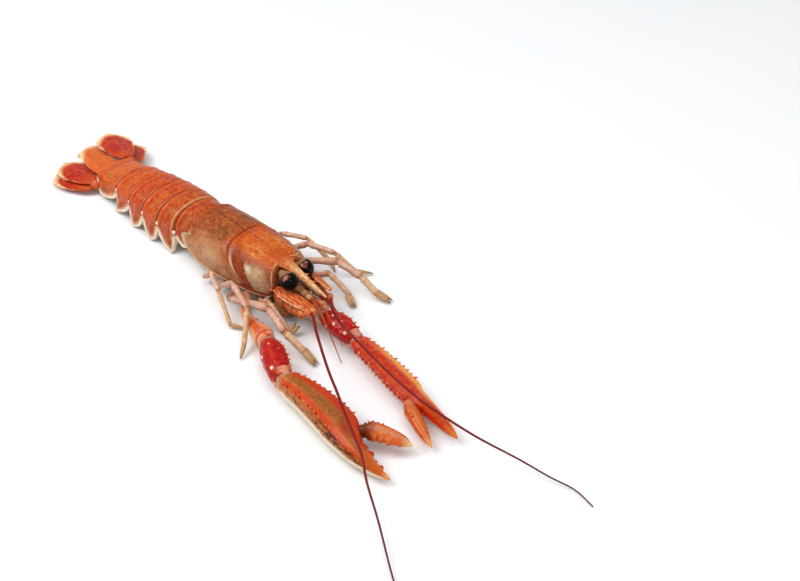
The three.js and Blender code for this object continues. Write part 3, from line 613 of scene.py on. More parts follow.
def shell_ring(line, along, inset):
    """Ring where the line x(height) runs round the carapace, from the chest to the middle of the back."""
    round_share = 2 / SQUARENESS
    chest_x = line(np.array(1.0))
    chest_height, chest_share = through(CHEST_SIZES, chest_x)
    lip_width, _, lip_edge = through(SHELL_SIZES, chest_x)
    gutter = lip_edge + 0.5
    under = [(chest_x, 0, chest_height), (chest_x, BELLY * 0.5 * chest_share, chest_height),
             (chest_x, BELLY * chest_share, chest_height),
             (chest_x, 5.3 * chest_share, mixed(chest_height, gutter, 0.12)),
             (chest_x, 6 * chest_share, mixed(chest_height, gutter, 0.4)),
             (chest_x, 6.4 * chest_share, gutter),
             (line(gutter), mixed(6.4 * chest_share, lip_width * 0.87, 0.5), gutter + 0.4),
             (line(gutter), lip_width * 0.87, gutter)]
    rise = np.linspace(0, 1, SIDE_STEPS)
    side_turn = rise * SIDE_SHARE
    side_x = line(mixed(3.2, WIDEST, rise))
    width, _, edge = np.moveaxis(through(SHELL_SIZES, side_x), -1, 0)
    sink = inset + shell_sink(along, side_turn)
    side_y = width * mixed(0.95, 1, rise) - sink
    side_z = mixed(edge, WIDEST, rise)
    step = np.arange(1, BACK_STEPS + 1) / BACK_STEPS
    back_turn = mixed(SIDE_SHARE, 1, step)
    reach = np.cos(step * np.pi / 2) ** round_share
    lift = np.sin(step * np.pi / 2) ** round_share
    back_x = line(WIDEST + BACK_RISE * lift)
    width, top, _ = np.moveaxis(through(SHELL_SIZES, back_x), -1, 0)
    sink = inset + shell_sink(along, back_turn)
    back_y = np.maximum(0, (width - sink) * reach)
    back_z = WIDEST + (top - WIDEST - sink) * lift
    half = np.vstack([np.array(under, float), np.stack([side_x, side_y, side_z], -1),
                      np.stack([back_x, back_y, back_z], -1)])
    return both_sides(half, np.concatenate([np.full(UNDER_POINTS, -0.2), side_turn, back_turn]))


def carapace_form():
    """Rings from the hollow at the rear to the fold inside the front rim."""
    def hollow(height):
        return np.maximum(line_at(REAR_RIM, height) + 1.2, HOLLOW_FLOOR_X)

    places = [(0, 0, 1.2), (0, 0, 0.6), (0.004, 0, 0.2)]        # place, painted along, inset
    places += [(share, share, 0) for share in np.linspace(0.01, 0.99, 96)]
    places += [(1 + share, 1 + share, 0) for share in np.linspace(0.0, 0.96, 66)]
    places += [(1.985, 1.985, 0.25), (2, 2, 0.8), (2, 2, 1.6), (1.96, 2, 3.2)]
    rings = [(hollow, 0, 2.0)] + [(shell_line(place), along, inset) for place, along, inset in places]
    points, turns = zip(*[shell_ring(*ring) for ring in rings])
    along = np.array([ring[1] for ring in rings])[:, None]
    return skin(np.array(points), along=along, turn=np.array(turns), beak=0.0)


def rostrum_form():
    """Beak with a shallow channel between two side ridges, and a low crest in the channel."""
    rows = np.array(ROSTRUM)
    shares = np.linspace(0, 1, 90)
    x, y, z, width, height = np.moveaxis(
        through(np.column_stack([np.linspace(0, 1, len(rows)), rows]), shares), -1, 0)
    angle = round_angles(40)
    bulge = swell(angle, 1.7)
    ridge = 0.32 * (turned(angle, 0.75, 0.22) + turned(angle, np.pi - 0.75, 0.22)) \
        + 0.16 * turned(angle, np.pi / 2, 0.16)
    proud = ridge[None] * np.clip(height, 0, 1)[:, None]
    wide = np.cos(angle) * (width[:, None] * bulge + proud)
    high = np.sin(angle) * (height[:, None] * bulge + proud)
    rings = np.stack([np.broadcast_to(x[:, None], wide.shape), y[:, None] + wide, z[:, None] + high], -1)
    return skin(rings, along=2 + shares[:, None], turn=angle[None] / (2 * np.pi), beak=1.0)


def shell_point(along, turn, side):
    """Point and outward direction on the carapace, for what grows there."""
    def at(a, t):
        ring, turns = shell_ring(shell_line(a), a, 0.0)
        half = slice(UNDER_POINTS, UNDER_POINTS + SIDE_STEPS + BACK_STEPS)
        return np.array([np.interp(t, turns[half], ring[half, k]) for k in range(3)])

    here = at(along, turn)
    across = at(along, min(turn + 0.02, 0.999)) - at(along, turn - 0.02)
    forward = at(min(along + 0.02, 1.99), turn) - at(along - 0.02, turn)
    outward = unit(np.cross(forward, across))
    flip = np.array([1, side, 1])
    return here * flip, outward * flip


def shell_spines():
    """Rows of small spines on the front of the carapace: (feet, facing, length, radius)."""
    rows = []
    forward = np.array([1.0, 0, 0])
    spots = [(1.18, 0.985, 1.4), (1.36, 0.985, 1.0)]
    spots += [(along, 0.9 - 0.03 * (along - 1.3), 0.9) for along in np.linspace(1.34, 1.9, 6)]
    spots += [(along, 0.8 - 0.03 * (along - 1.3), 0.8) for along in np.linspace(1.46, 1.9, 4)]
    spots += [(1.93, 0.74, 2.2), (1.95, 0.36, 2.3), (1.1, 0.62, 1.0), (1.72, 0.52, 0.9), (1.5, 0.62, 0.8)]
    for along, turn, length in spots:
        for side in (-1, 1):
            foot, outward = shell_point(along, turn, side)
            facing = unit(outward * 0.55 + forward)
            rows.append((foot[None] - outward * 0.15, facing[None], length, 0.3 + 0.12 * length))
    for x in (21, 25, 29.5, 34, 38.5):
        y, z, width, _ = through(np.array(ROSTRUM), x)
        for side in (-1, 1):
            rows.append((np.array([[x, y + side * width * 0.85, z + 0.1]]),
                         unit(np.array([[1, side * 0.75, 0.45]])), 1.9, 0.5))
    return rows


# ---- Tail ----

# Front x, rear x, half width front and rear, top front and rear, then for the side lobe its lowest
# height, its place along the segment and how far its tip leans forward.
TAIL_SEGMENTS = [
    (-19.0, -27.4, 10.4, 10.8, 18.2, 18.2, 5.2, 0.5, 0.6),
    (-27.7, -37.0, 11.7, 12.3, 18.1, 17.8, 0.5, 0.34, 2.6),
    (-37.3, -46.8, 12.4, 12.3, 17.5, 17.0, 0.5, 0.46, 0.2),
    (-47.1, -57.0, 12.2, 11.6, 16.6, 15.9, 0.5, 0.55, -1.6),
    (-57.3, -67.6, 11.4, 10.3, 15.4, 14.4, 0.9, 0.62, -4.9),
    (-67.9, -85.8, 10.1, 7.6, 13.8, 10.2, 1.8, 0.45, -5.5)]
SEGMENT_RELIEF = [(0, 0.9), (0.05, 0.62), (0.1, 0.2), (0.16, -0.02), (0.5, -0.12), (0.85, 0), (0.93, -0.18),
                  (0.985, -0.12), (1, 0.35)]
LOBE_FLARE = 0.9
LOBE_THICKNESS = 1.5
LAST_SEGMENT = len(TAIL_SEGMENTS) - 1
LOBE_STEPS, RING_STEPS = 16, 36          # points of half a ring on its side and its back


def segment_section(x, width, top, lobe, belly, lean, share, lobe_share, hang_from):
    """Half ring of a tail segment with its painted turn, hang and rim."""
    inner_height = max(belly + 0.7, lobe + 0.5)
    inner = width - LOBE_THICKNESS
    round_share = 2 / SQUARENESS

    def hanging(inset, height):
        low = 1 - np.minimum(height, WIDEST) / WIDEST
        return x + lean * low, width - inset + LOBE_FLARE * low, height

    under = [(x, 0, belly), (x, inner * 0.3, belly - 0.2), (x, inner * 0.6, belly),
             (x, inner - 0.9, inner_height)]
    under += [hanging(LOBE_THICKNESS, min(lobe + 0.25, inner_height)), hanging(0.9, lobe - 0.05),
              hanging(0.3, lobe + 0.02)]
    rise = np.linspace(0.03, 1, LOBE_STEPS)
    height = mixed(lobe, WIDEST, rise)
    hang = np.clip((hang_from - height) / (hang_from - 0.5), 0, 1)
    crown = 0.45 * bell(share, mixed(0.5, lobe_share, hang), 0.16) * ramp_up(hang, 0.02, 0.5)
    edge = 0.3 * bell(height - lobe, 0.5, 0.5) * ramp_up(hang_from - lobe, 0.4, 2)
    side_x, side_y, side_z = hanging(0.15 - 0.25 * rise - crown - edge + 0.1 * rise ** 2, height)
    step = np.arange(1, RING_STEPS + 1) / RING_STEPS
    back_y = np.maximum(0, width * np.cos(step * np.pi / 2) ** round_share)
    back_z = WIDEST + (top - WIDEST) * np.sin(step * np.pi / 2) ** round_share
    half = np.vstack([np.array(under, float), np.stack([side_x + 0 * rise, side_y, side_z], -1),
                      np.stack([np.full_like(step, x), back_y, back_z], -1)])
    turn = np.concatenate([np.full(4, -0.4), np.zeros(3), rise * SIDE_SHARE, mixed(SIDE_SHARE, 1, step)])
    hangs = np.concatenate([np.zeros(4), np.full(3, hang[0]), hang, np.zeros_like(step)])
    rim = np.concatenate([np.zeros(7), height - lobe, np.full_like(step, WIDEST)])
    return half, turn, hangs, rim


def lobe_edge(number):
    """Height where the side lobe of a segment begins, and the heights of its rim along the segment."""
    tip, share = TAIL_SEGMENTS[number][6:8]
    edge = 8.0 if number == 0 else 7.2
    rest = 1 - share
    return edge, [(0, edge), (share * 0.35, mixed(edge, tip, 0.66)), (share * 0.7, mixed(edge, tip, 0.95)),
                  (share, tip), (share + rest * 0.32, mixed(edge, tip, 0.99)),
                  (share + rest * 0.62, mixed(edge, tip, 0.86)), (share + rest * 0.85, mixed(edge, tip, 0.5)),
                  (1, edge - 0.6)]


def segment_form(number):
    front, rear, front_width, rear_width, front_top, rear_top, _, lobe_share, lean = TAIL_SEGMENTS[number]
    edge, lobe_line = lobe_edge(number)
    belly = 4.0 if number == LAST_SEGMENT else 3.4
    shares = np.concatenate([[0, 0, 0.02, 0.05], np.linspace(0.08, 0.2, 10), np.linspace(0.22, 0.9, 34),
                             np.linspace(0.91, 1, 10), [1]])
    sinks = np.zeros(len(shares))
    sinks[0], sinks[1], sinks[-1] = 2.2, 0.5, 1.4
    rings, paints = [], []
    for share, sink in zip(shares, sinks):
        inset = line_at(SEGMENT_RELIEF, share) + sink + 0.12 * bell(share, 0.27, 0.03)
        width = mixed(front_width, rear_width, share) - inset
        top = mixed(front_top, rear_top, share) - inset
        lobe = line_at(lobe_line, share)
        half, *values = segment_section(mixed(front, rear, share), width, top, lobe, belly,
                                        lean * math.sin(math.pi * share), share, lobe_share, edge + 1.6)
        slope = (line_at(lobe_line, min(share + 0.02, 1)) - line_at(lobe_line, max(share - 0.02, 0))) / 0.04
        values[-1] = values[-1] / math.hypot(1, slope / (front - rear))
        ring, *values = both_sides(half, *values)
        rings.append(ring)
        paints.append(values)
    turn, hang, rim = np.moveaxis(np.array(paints), 1, 0)
    return skin(np.array(rings), along=shares[:, None], turn=turn, hang=hang, rim=rim,
                number=number / LAST_SEGMENT)


def swimming_leg_forms(number):
    front, rear = TAIL_SEGMENTS[number][:2]
    forms = []
    for side in (-1, 1):
        for reach, width in ((3.2, 1.7), (1.4, 1.2)):
            points = [(mixed(front, rear, 0.75), side * 7.2, 3.9),
                      (mixed(front, rear, 0.5), side * (reach + 2.2), 3.1),
                      (front + 2.6, side * reach, 2.5)]
            sizes = [(0, 0.7, 0.5), (0.35, width, 0.6), (0.8, width * 0.6, 0.4), (1, 0.1, 0.1)]
            forms.append(sweep(points, sizes, 12, 16).painted(turn=-0.4))
    return forms


# ---- Tail fan and other plates ----

FAN_OUTLINE = [(0, 2.0), (0.1, 3.6), (0.3, 5.6), (0.55, 6.8), (0.75, 6.7), (0.9, 5.2), (0.97, 3.4),
               (1, 1.6), (1.012, 0.3)]
TELSON_OUTLINE = [(0, 5.4), (0.08, 6.4), (0.3, 6.8), (0.6, 6.5), (0.85, 6.0), (0.95, 5.4), (1, 4.2),
                  (1.01, 2.0)]
SCALE_OUTLINE = [(0, 1.4), (0.15, 2.6), (0.5, 2.9), (0.8, 2.0), (0.95, 1.0), (1, 0.3)]
FAN_FOOT = np.array([-86, -0.6, 6.6])


class Plate:
    """Thin crowned plate from start to end; outline rows are (share of its length, half width)."""

    def __init__(self, start, end, outline, thickness, crown, tilt=0.0, foot=None):
        foot = FAN_FOOT if foot is None else foot
        self.start = foot + np.array(start, float)
        self.run = foot + np.array(end, float) - self.start
        self.outline, self.thickness, self.crown = outline, thickness, crown
        side = unit(np.cross(UP, self.run))
        heading = unit(self.run)
        self.across = side * math.cos(tilt) + np.cross(heading, side) * math.sin(tilt)
        self.rise = unit(np.cross(self.run, self.across))

    def at(self, share, w, lift=0.5):
        """Point at the share of the length and w across, -1 to 1; lift 0.5 is on top."""
        share, w = np.broadcast_arrays(np.asarray(share, float), np.asarray(w, float))
        half_width = through(self.outline, share)[..., 0]
        height = lift * self.thickness * (1 - 0.62 * w ** 2) + self.crown * (1 - w ** 2)
        return (self.start + self.run * share[..., None] + self.across * (w * half_width)[..., None]
                + self.rise * height[..., None])

    def form(self, relief, rows, columns, **values):
        share = mixed(0, self.outline[-1][0], np.sin(np.linspace(0, np.pi / 2, rows)))[:, None]
        w = np.sin(np.linspace(-np.pi / 2, np.pi / 2, columns))[None]
        top = self.at(share, w) + self.rise * relief(share, w)[..., None]
        under = self.at(share, w, -0.5)
        half_width = through(self.outline, share[:, 0])[:, :1]
        border = np.minimum((1 - np.abs(w)) * half_width,
                            (self.outline[-1][0] - share) * np.linalg.norm(self.run))
        both = {"along": share + 0 * w, "across": w + 0 * share, "border": border}
        paint_values = {key: np.hstack([value, value[:, ::-1]]) for key, value in both.items()}
        return skin(np.concatenate([top, under[:, ::-1]], axis=1), **paint_values).painted(**values)


FAN_PLATES = {
    "telson": Plate((-1.0, 0.2, 0.4), (-24, 5.0, -2.2), TELSON_OUTLINE, 1.6, 1.2),
    "tail_fan_inner_right": Plate((-0.2, -8.0, -2.0), (-23, -8.2, -3.6), FAN_OUTLINE, 1.0, 0.7),
    "tail_fan_outer_right": Plate((0.6, -9.8, -3.8), (-20.8, -12.6, -5.2), FAN_OUTLINE, 1.0, 0.5),
    "tail_fan_inner_left": Plate((-0.4, 8.4, 2.6), (-23, 13.8, 1.6), FAN_OUTLINE, 1.0, 0.6, tilt=0.1),
    "tail_fan_outer_left": Plate((0.6, 9.8, -0.8), (-18, 19.0, -3.4), FAN_OUTLINE, 1.0, 0.5)}


def blade_relief(share, w):
    """Middle ridge, fine rays that spread to the rim, and a seam across near the end."""
    ridge = 0.28 * bell(w, 0.0, 0.07) * (1 - ramp_up(share, 0.7, 0.95))
    side_ridge = 0.14 * bell(w, 0.5, 0.06) * (1 - ramp_up(share, 0.6, 0.9))
    rays = 0.05 * np.sin(w * 46) * ramp_up(share, 0.35, 0.75)
    hollow = -0.16 * bell(np.abs(w), 0.72, 0.12)
    return ridge + side_ridge + rays + hollow


def telson_relief(share, w):
    ridges = 0.3 * bell(np.abs(w), 0.42 + 0.1 * share, 0.07) * (1 - ramp_up(share, 0.75, 0.95))
    furrow = -0.22 * bell(w, 0.0, 0.16) * ramp_up(share, 0.1, 0.3)
    rays = 0.05 * np.sin(w * 40) * ramp_up(share, 0.55, 0.85)
    return ridges + furrow + rays


def fan_forms():
    forms = {}
    for name, plate in FAN_PLATES.items():
        relief = telson_relief if name == "telson" else blade_relief
        forms[name] = plate.form(relief, rows=80, columns=44, middle=float(name == "telson"))
    for side, root in (("right", (0.4, -8.6, -2.6)), ("left", (0.3, 8.9, 1.2))):
        hinge = ball(FAN_FOOT + np.array(root), (2.3, 1.9, 1.7), 24, 14)
        hinge.paint = {}
        name = f"tail_fan_inner_{side}"
        forms[name] = forms[name].plus(hinge.painted(along=0.08, border=3.0, knuckle=1.0))
    return forms


def fringe_rows(plate, first):
    """Hairs round the free edge of a plate, from the share first to the end and back."""
    reach = plate.outline[-1][0]
    bend = np.linspace(-1, 1, 120)
    share = mixed(first, reach, 1 - np.abs(bend) ** 1.8)
    w = np.clip(bend * 1.6, -1, 1)
    feet = plate.at(share, w, 0.0)
    outward = unit(plate.across * w[:, None] * 0.8 + plate.run / np.linalg.norm(plate.run)
                   * ramp_up(share, first, reach)[:, None])
    return feet, outward, 1.5, 0.07


# ---- Head ----

EYES = {"right": np.array([32.4, -5.7, 16.0]), "left": np.array([29.9, 3.8, 15.4])}
EYE_RADII = np.array([3.6, 3.2, 3.4])
STALKS = {"right": [(25.6, -2.9, 14.2), (29.6, -4.4, 15.1)], "left": [(24.6, 1.8, 13.7), (27.6, 3.0, 14.5)]}
# Head scales: start, end, share of the full width, tilt.
SCALES = {"right": ((28.8, -8.6, 12.0), (47.6, -6.4, 10.4), 1.0, 0.0),
          "left": ((29.4, 6.9, 11.3), (43.6, 3.6, 12.4), 0.76, -0.7)}
FEELER_FEET = {
    "right": [(28.0, -6.4, 8.4), (33.4, -7.4, 8.2), (38.6, -8.6, 8.2), (43.6, -9.0, 8.8)],
    "left": [(28.0, 6.2, 7.9), (32.4, 6.0, 7.5), (36.8, 5.0, 7.5), (41.0, 3.5, 8.0)]}
FEELERS = {
    "right": ([(44.5, -9.0, 9.6), (48.5, -9.6, 12.6), (58.7, -16.2, 13.8), (75.1, -25.9, 14.0),
               (84.9, -30.9, 13.6), (92.6, -34.9, 12.9), (99.4, -38.0, 11.4), (106.1, -40.9, 9.2),
               (112.9, -45.4, 6.6), (124.2, -51.7, 3.6), (139.7, -61.4, 1.6), (148.5, -66.4, 1.0)], 0.35),
    "left": ([(42.4, 4.0, 9.4), (46.8, 0.8, 12.4), (56, -5.2, 13.4), (73.5, -10, 14.0), (99.6, -12.9, 11.6),
              (121.9, -10.3, 8), (137.8, -5, 4), (147.5, -2.5, 2), (155.6, -0.5, 1), (163.2, -1.7, 0.7)],
             0.3)}
SHORT_FEELERS = {
    "right": ((31, -2.0, 11.6), [(41.2, -2.8, 11.0), (46, -4.6, 11.2), (51.3, -6.6, 10.2), (56.3, -8.5, 7.8),
                                 (61, -9.8, 3.6), (64.4, -10.8, 0.9)]),
    "left": ((31, 2.0, 11.4),
             [(41.2, 1.2, 11.0), (44.6, 3.1, 7.1), (48.5, 3.6, 3.0), (53, 3.6, 1.2), (58, 3.2, 0.8)])}
MOUTH_LEGS = {
    "right": [(21, -3.8, 2.6), (27.4, -7.2, 2.8), (33.2, -8.8, 3.4), (34.8, -5.6, 3.8)],
    "left": [(20, 0.2, 1.8), (26.4, -2.4, 2.0), (31.6, -4.2, 2.2), (33.6, -2.6, 1.8)]}


def eye_form(side):
    """Kidney-shaped eye, with a pink painted reflection in it and the skin of the stalk painted by direction.
    """
    form = ball(EYES[side], EYE_RADII, 56, 40)
    way = unit((form.points - EYES[side]) / EYE_RADII)
    out = -1.0 if side == "right" else 1.0
    # Way that the pink painted reflection faces on each eye.
    glow = unit(np.array([0.02, -0.5, 0.76]) if side == "right" else np.array([0.2, -0.35, 0.85]))
    skin_way = unit(np.array([-0.8, -0.1 * out, 0.66]))
    form.paint["glow"] = way @ glow
    form.paint["skin"] = way @ skin_way
    dent = ramp_up(way @ skin_way, 0.55, 0.95)[:, None]
    form.points = form.points - way * dent * 0.35
    return form


def barrel(start, end, radius, **sizes):
    ends = [(0, radius * 0.8, radius * 0.8), (0.12, radius * 0.95, radius * 0.95), (0.3, radius, radius),
            (0.85, radius * 0.95, radius * 0.9), (0.95, radius * 0.85, radius * 0.82),
            (1, radius * 0.6, radius * 0.6)]
    return sweep([start, end], ends, sides=28, rings=30, **sizes)


def feeler_foot_form(side):
    joints = FEELER_FEET[side]

    def ribs(angle, share):
        ridges = 0.12 * turned(angle, 1.2, 0.25) + 0.12 * turned(angle, 2.6, 0.3)
        return ridges + 0.05 * np.sin(5 * angle + 9 * share)

    barrels = [barrel(joints[k], joints[k + 1], radius, relief=ribs) for k,
               radius in enumerate((3.1, 2.4, 1.8))]
    last = sweep([joints[3], FEELERS[side][0][0], FEELERS[side][0][1]],
                 [(0, 1.3, 1.2), (0.3, 1.2, 1.1), (1, 0.8, 0.8)], sides=20, rings=20)
    return joined([*barrels, last])


def feeler_form(side):
    points, thinnest = FEELERS[side]
    middle = mixed(0.55, thinnest, 0.5)

    def rings(_, share):
        return 0.035 * np.sin(share * 900) * (1 - share)

    sizes = [(0, 0.8, 0.8), (0.1, 0.5, 0.5), (0.5, middle, middle), (1, thinnest * 0.7, thinnest * 0.7)]
    return sweep(points, sizes, sides=10, rings=900, relief=rings, ends=0.0)


def short_feeler_form(side):
    foot, whip = SHORT_FEELERS[side]
    foot, knee = np.array(foot), np.array(whip[0])
    forms = []
    for start, end, radius in ((0, 0.45, 1.5), (0.43, 0.72, 1.3), (0.7, 1.0, 1.15)):
        forms.append(sweep([mixed(foot, knee, start), mixed(foot, knee, end)],
                           [(0, radius * 0.75, radius * 0.6), (0.2, radius, radius * 0.8),
                            (0.8, radius, radius * 0.85), (1, radius * 0.7, radius * 0.6)], sides=18,
                           rings=16))
    lash = sweep(whip, [(0, 0.7, 0.7), (0.3, 0.38, 0.38), (1, 0.14, 0.14)], sides=10, rings=220,
                 relief=lambda _, share: 0.03 * np.sin(share * 420), ends=0.0)
    out = -1 if side == "right" else 1
    inner = [np.array(p) + np.array([0.3, -out * 1.3 * k ** 0.5, 0.9 * math.sin(0.5 * k)]) for k,
             p in enumerate(whip)]
    second = sweep(inner[:-1], [(0, 0.55, 0.55), (0.3, 0.32, 0.32), (1, 0.12, 0.12)], sides=8, rings=160,
                   relief=lambda _, share: 0.025 * np.sin(share * 300), ends=0.0)
    return joined([*forms, lash.painted(lash=1.0), second.painted(lash=1.0)])


def scale_form(side):
    start, end, wide, tilt = SCALES[side]
    outline = [(share, half_width * wide) for share, half_width in SCALE_OUTLINE]
    plate = Plate(start, end, outline, 0.9, 0.5, tilt, foot=np.zeros(3))
    out = -1 if side == "right" else 1

    def relief(share, w):
        return 0.22 * bell(w, 0.55 * out, 0.12) + 0.06 * np.sin(w * 14 + share * 3)

    return plate.form(relief, rows=50, columns=26)


# ---- Claws ----

# Ridges are the angles round the palm of its spined ridges: inner edge, middle and outer side.
CLAWS = {
    "right": {
        "arm": [(12.8, -9.4, 2.5), (18.6, -14.8, 2.6), (25, -19.4, 3.4), (34, -22.8, 5.0),
                (43.2, -25.0, 6.2)],
        "arm_sizes": [(0, 1.7, 1.9), (0.25, 1.9, 2.0), (0.5, 2.0, 2.1), (0.75, 2.7, 3.0), (0.93, 3.6, 4.0),
                      (1, 3.0, 3.4)],
        "wrist": [(44.4, -25.6, 6.2), (52, -29.4, 6.5), (60.6, -33.2, 5.9)],
        "wrist_sizes": [(0, 2.4, 2.8), (0.15, 3.5, 3.9), (0.5, 4.1, 4.4), (0.85, 3.8, 4.0), (1, 2.7, 3.0)],
        "palm": [(61.9, -33.6, 5.6), (70, -33.6, 5.7), (77, -33.8, 5.7), (85, -34.5, 5.5), (90.3, -35.4, 5.2),
                 (95, -37.1, 4.8), (101.3, -38.6, 4.2), (107.3, -38.7, 3.6), (111.5, -38.4, 3.2),
                 (115, -37.7, 2.8)],
        "palm_sizes": [(0, 3.0, 3.4), (0.06, 4.2, 4.3), (0.15, 4.8, 4.8), (0.28, 5.5, 5.0), (0.42, 6.0, 4.8),
                       (0.53, 6.1, 4.6), (0.57, 5.7, 4.5), (0.62, 4.8, 4.2), (0.74, 3.4, 3.5),
                       (0.85, 2.2, 2.7),
                       (0.93, 1.2, 1.7), (1, 0.3, 0.4)],
        "finger": [(96.5, -30.7, 5.7), (100.3, -28.4, 5.8), (105.2, -26.1, 5.4), (110.9, -24.0, 4.3)],
        "finger_sizes": [(0, 2.3, 2.8), (0.15, 2.9, 3.2), (0.5, 2.3, 2.7), (0.8, 1.7, 1.9), (1, 0.25, 0.3)],
        "ridges": (0.6, 2.35, 3.2),
        "palm_teeth": [(0.67, 0.5), (0.735, 1.1), (0.8, 1.8), (0.86, 0.9), (0.91, 1.4), (0.96, 0.4)],
        "finger_teeth": [(0.24, 1.1), (0.4, 1.2), (0.56, 1.7), (0.68, 0.7), (0.77, 0.9), (0.86, 0.5)]},
    "left": {
        "arm": [(13, 8.8, 2.6), (21, 6.2, 2.8), (30, 2.4, 3.5), (38, -0.7, 5.2), (46.4, -2.6, 6.6)],
        "arm_sizes": [(0, 1.8, 2.0), (0.25, 2.1, 2.2), (0.5, 2.4, 2.5), (0.75, 3.1, 3.4), (0.93, 3.6, 4.0),
                      (1, 2.6, 3.0)],
        "wrist": [(47.6, -2.9, 6.8), (56, -3.0, 7.0), (63.2, -3.4, 6.2)],
        "wrist_sizes": [(0, 2.2, 2.4), (0.15, 3.2, 3.4), (0.5, 3.8, 3.9), (0.85, 3.4, 3.5), (1, 2.3, 2.5)],
        "palm": [(64.5, -3.5, 5.6), (75.6, -4.7, 5.4), (88.8, -7.0, 5.0), (96, -8.2, 4.8), (107, -9.4, 4.3),
                 (117.6, -11.2, 3.4)],
        "palm_sizes": [(0, 2.4, 2.6), (0.06, 3.0, 3.3), (0.25, 3.6, 3.7), (0.45, 4.0, 3.8), (0.56, 3.9, 3.7),
                       (0.61, 2.8, 3.4), (0.7, 2.5, 2.9), (0.85, 1.9, 2.1), (0.94, 1.3, 1.4), (1, 0.3, 0.4)],
        "finger": [(98.0, -13.0, 4.8), (103, -15.0, 4.7), (108.6, -17.4, 4.2), (114.6, -19.5, 3.2)],
        "finger_sizes": [(0, 1.7, 1.9), (0.15, 2.4, 2.4), (0.5, 2.1, 2.0), (0.8, 1.3, 1.4), (1, 0.25, 0.3)],
        "ridges": (0.6, 1.7, 2.75),
        "palm_teeth": [(share, 0.28) for share in (0.66, 0.7, 0.74, 0.78, 0.82, 0.86, 0.9)],
        "finger_teeth": [(share, 0.28) for share in (0.2, 0.3, 0.4, 0.5, 0.6, 0.7, 0.8)]}}
PALM_POWER = 2.2
ROUND = 6.4             # turn of the palm, in radians, that ends its colour ramp


def arm_form(claw):
    def relief(angle, share):
        collar = -0.35 * bell(share, 0.955, 0.012) + 0.2 * bell(share, 0.93, 0.02)
        ridges = 0.25 * turned(angle, 0.9, 0.3) + 0.2 * turned(angle, 2.6, 0.35)
        return collar + ridges * ramp_up(share, 0.1, 0.6)

    return sweep(claw["arm"], claw["arm_sizes"], 44, 90, relief=relief)


def wrist_form(claw):
    """Wrist with soft joints of pale skin at both ends."""
    def relief(angle, share):
        lumps = 0.22 * np.sin(7 * angle + 10 * share) * np.sin(16 * share + 2)
        ridges = (0.4 * turned(angle, 0.6, 0.3) + 0.35 * turned(angle, 1.7, 0.3)
                  + 0.3 * turned(angle, 2.9, 0.3))
        collar = (0.3 * bell(share, 0.9, 0.025) - 0.35 * bell(share, 0.86, 0.02)
                  + 0.2 * bell(share, 0.06, 0.03))
        return (lumps + ridges) * ramp_up(share, 0.05, 0.3) * (1 - ramp_up(share, 0.75, 0.88)) + collar

    body = sweep(claw["wrist"], claw["wrist_sizes"], 56, 90, power=SQUARENESS, relief=relief)
    arm_end, wrist_start = np.array(claw["arm"][-1]), np.array(claw["wrist"][0])
    wrist_end, palm_start = np.array(claw["wrist"][-1]), np.array(claw["palm"][0])
    thick = claw["wrist_sizes"][0][1]
    joints = []
    for start, end, size in ((arm_end, wrist_start, thick * 0.96), (wrist_end, palm_start, thick * 0.98)):
        gap = unit(end - start) * 1.4
        tapered = (size * 0.7, size * 0.75)
        sizes = [(0, *tapered), (0.3, size, size), (0.7, size, size), (1, *tapered)]
        joints.append(sweep([start - gap, end + gap], sizes, 28, 16,
                            relief=lambda _, share: 0.12 * np.sin(share * 40)))
    knuckle = wrist_end - np.array([0.6, 0, 0])
    path = Path(claw["wrist"])
    _, heading, side, rise = path.frame(np.array([0.97]))
    for angle, radius in ((0.95, 1.5), (-2.3, 1.4)):
        away = side[0] * math.cos(angle) * thick * 0.95 + rise[0] * math.sin(angle) * thick * 0.95
        joints.append(ball(knuckle + away + heading[0] * 0.9, (radius, radius, radius * 0.85), 20, 14))
    joints = [joint.painted(soft=1.0) for joint in joints]
    return body.plus(*joints)


def teeth_relief(angle, share, teeth, facing, length):
    """Rounded teeth along the edge of a finger, as high as their radius."""
    proud = 0.0
    for place, radius in teeth:
        width = 0.75 * radius / length
        proud = proud + radius * bell(share, place, width) * turned(angle, facing, 0.42)
    return proud


def palm_form(claw, inner):
    """Palm with three spined ridges, and the fixed finger with its rounded teeth at the inner angle."""
    path = Path(claw["palm"])

    def relief(angle, share):
        fade = np.clip((0.75 - share) * 6, 0, 1)
        ridges = 0.5 * sum(turned(angle, ridge, 0.25) for ridge in claw["ridges"])
        hollows = -0.3 * (turned(angle, 1.15, 0.28) + turned(angle, 2.2, 0.26))
        start = 0.3 * bell(share, 0.035, 0.02) - 0.25 * bell(share, 0.075, 0.02)
        blade = (0.35 * turned(angle, 1.9, 0.25) - 0.25 * turned(angle, 1.3, 0.3)
                 + 0.2 * turned(angle, 3.3, 0.2))
        blade = blade * ramp_up(share, 0.5, 0.75) * (1 - ramp_up(share, 0.85, 1))
        return (ridges + hollows) * fade + start + blade \
            + teeth_relief(angle, share, claw["palm_teeth"], inner, path.length)

    return sweep(path, claw["palm_sizes"], 72, 230, power=PALM_POWER, relief=relief)


def finger_form(claw, inner):
    path = Path(claw["finger"])

    def relief(angle, share):
        ridges = (0.25 * turned(angle, 1.57, 0.3) - 0.2 * turned(angle, 1.0, 0.25)
                  - 0.2 * turned(angle, 2.15, 0.25))
        ridges = ridges * ramp_up(share, 0.1, 0.3) * (1 - ramp_up(share, 0.8, 1))
        neck = -0.45 * bell(share, 0.045, 0.03)
        return ridges + neck + teeth_relief(angle, share, claw["finger_teeth"], inner, path.length)

    finger = sweep(path, claw["finger_sizes"], 48, 120, relief=relief)
    root = Path(claw["palm"]).at(0.56)
    joint = sweep([mixed(root, path.at(0), 0.75), path.at(0.1)],
                  [(0, 1.7, 1.9), (0.5, 2.0, 2.2), (1, 1.9, 2.2)], sides=24, rings=12)
    return finger.plus(joint.painted(soft=1.0))


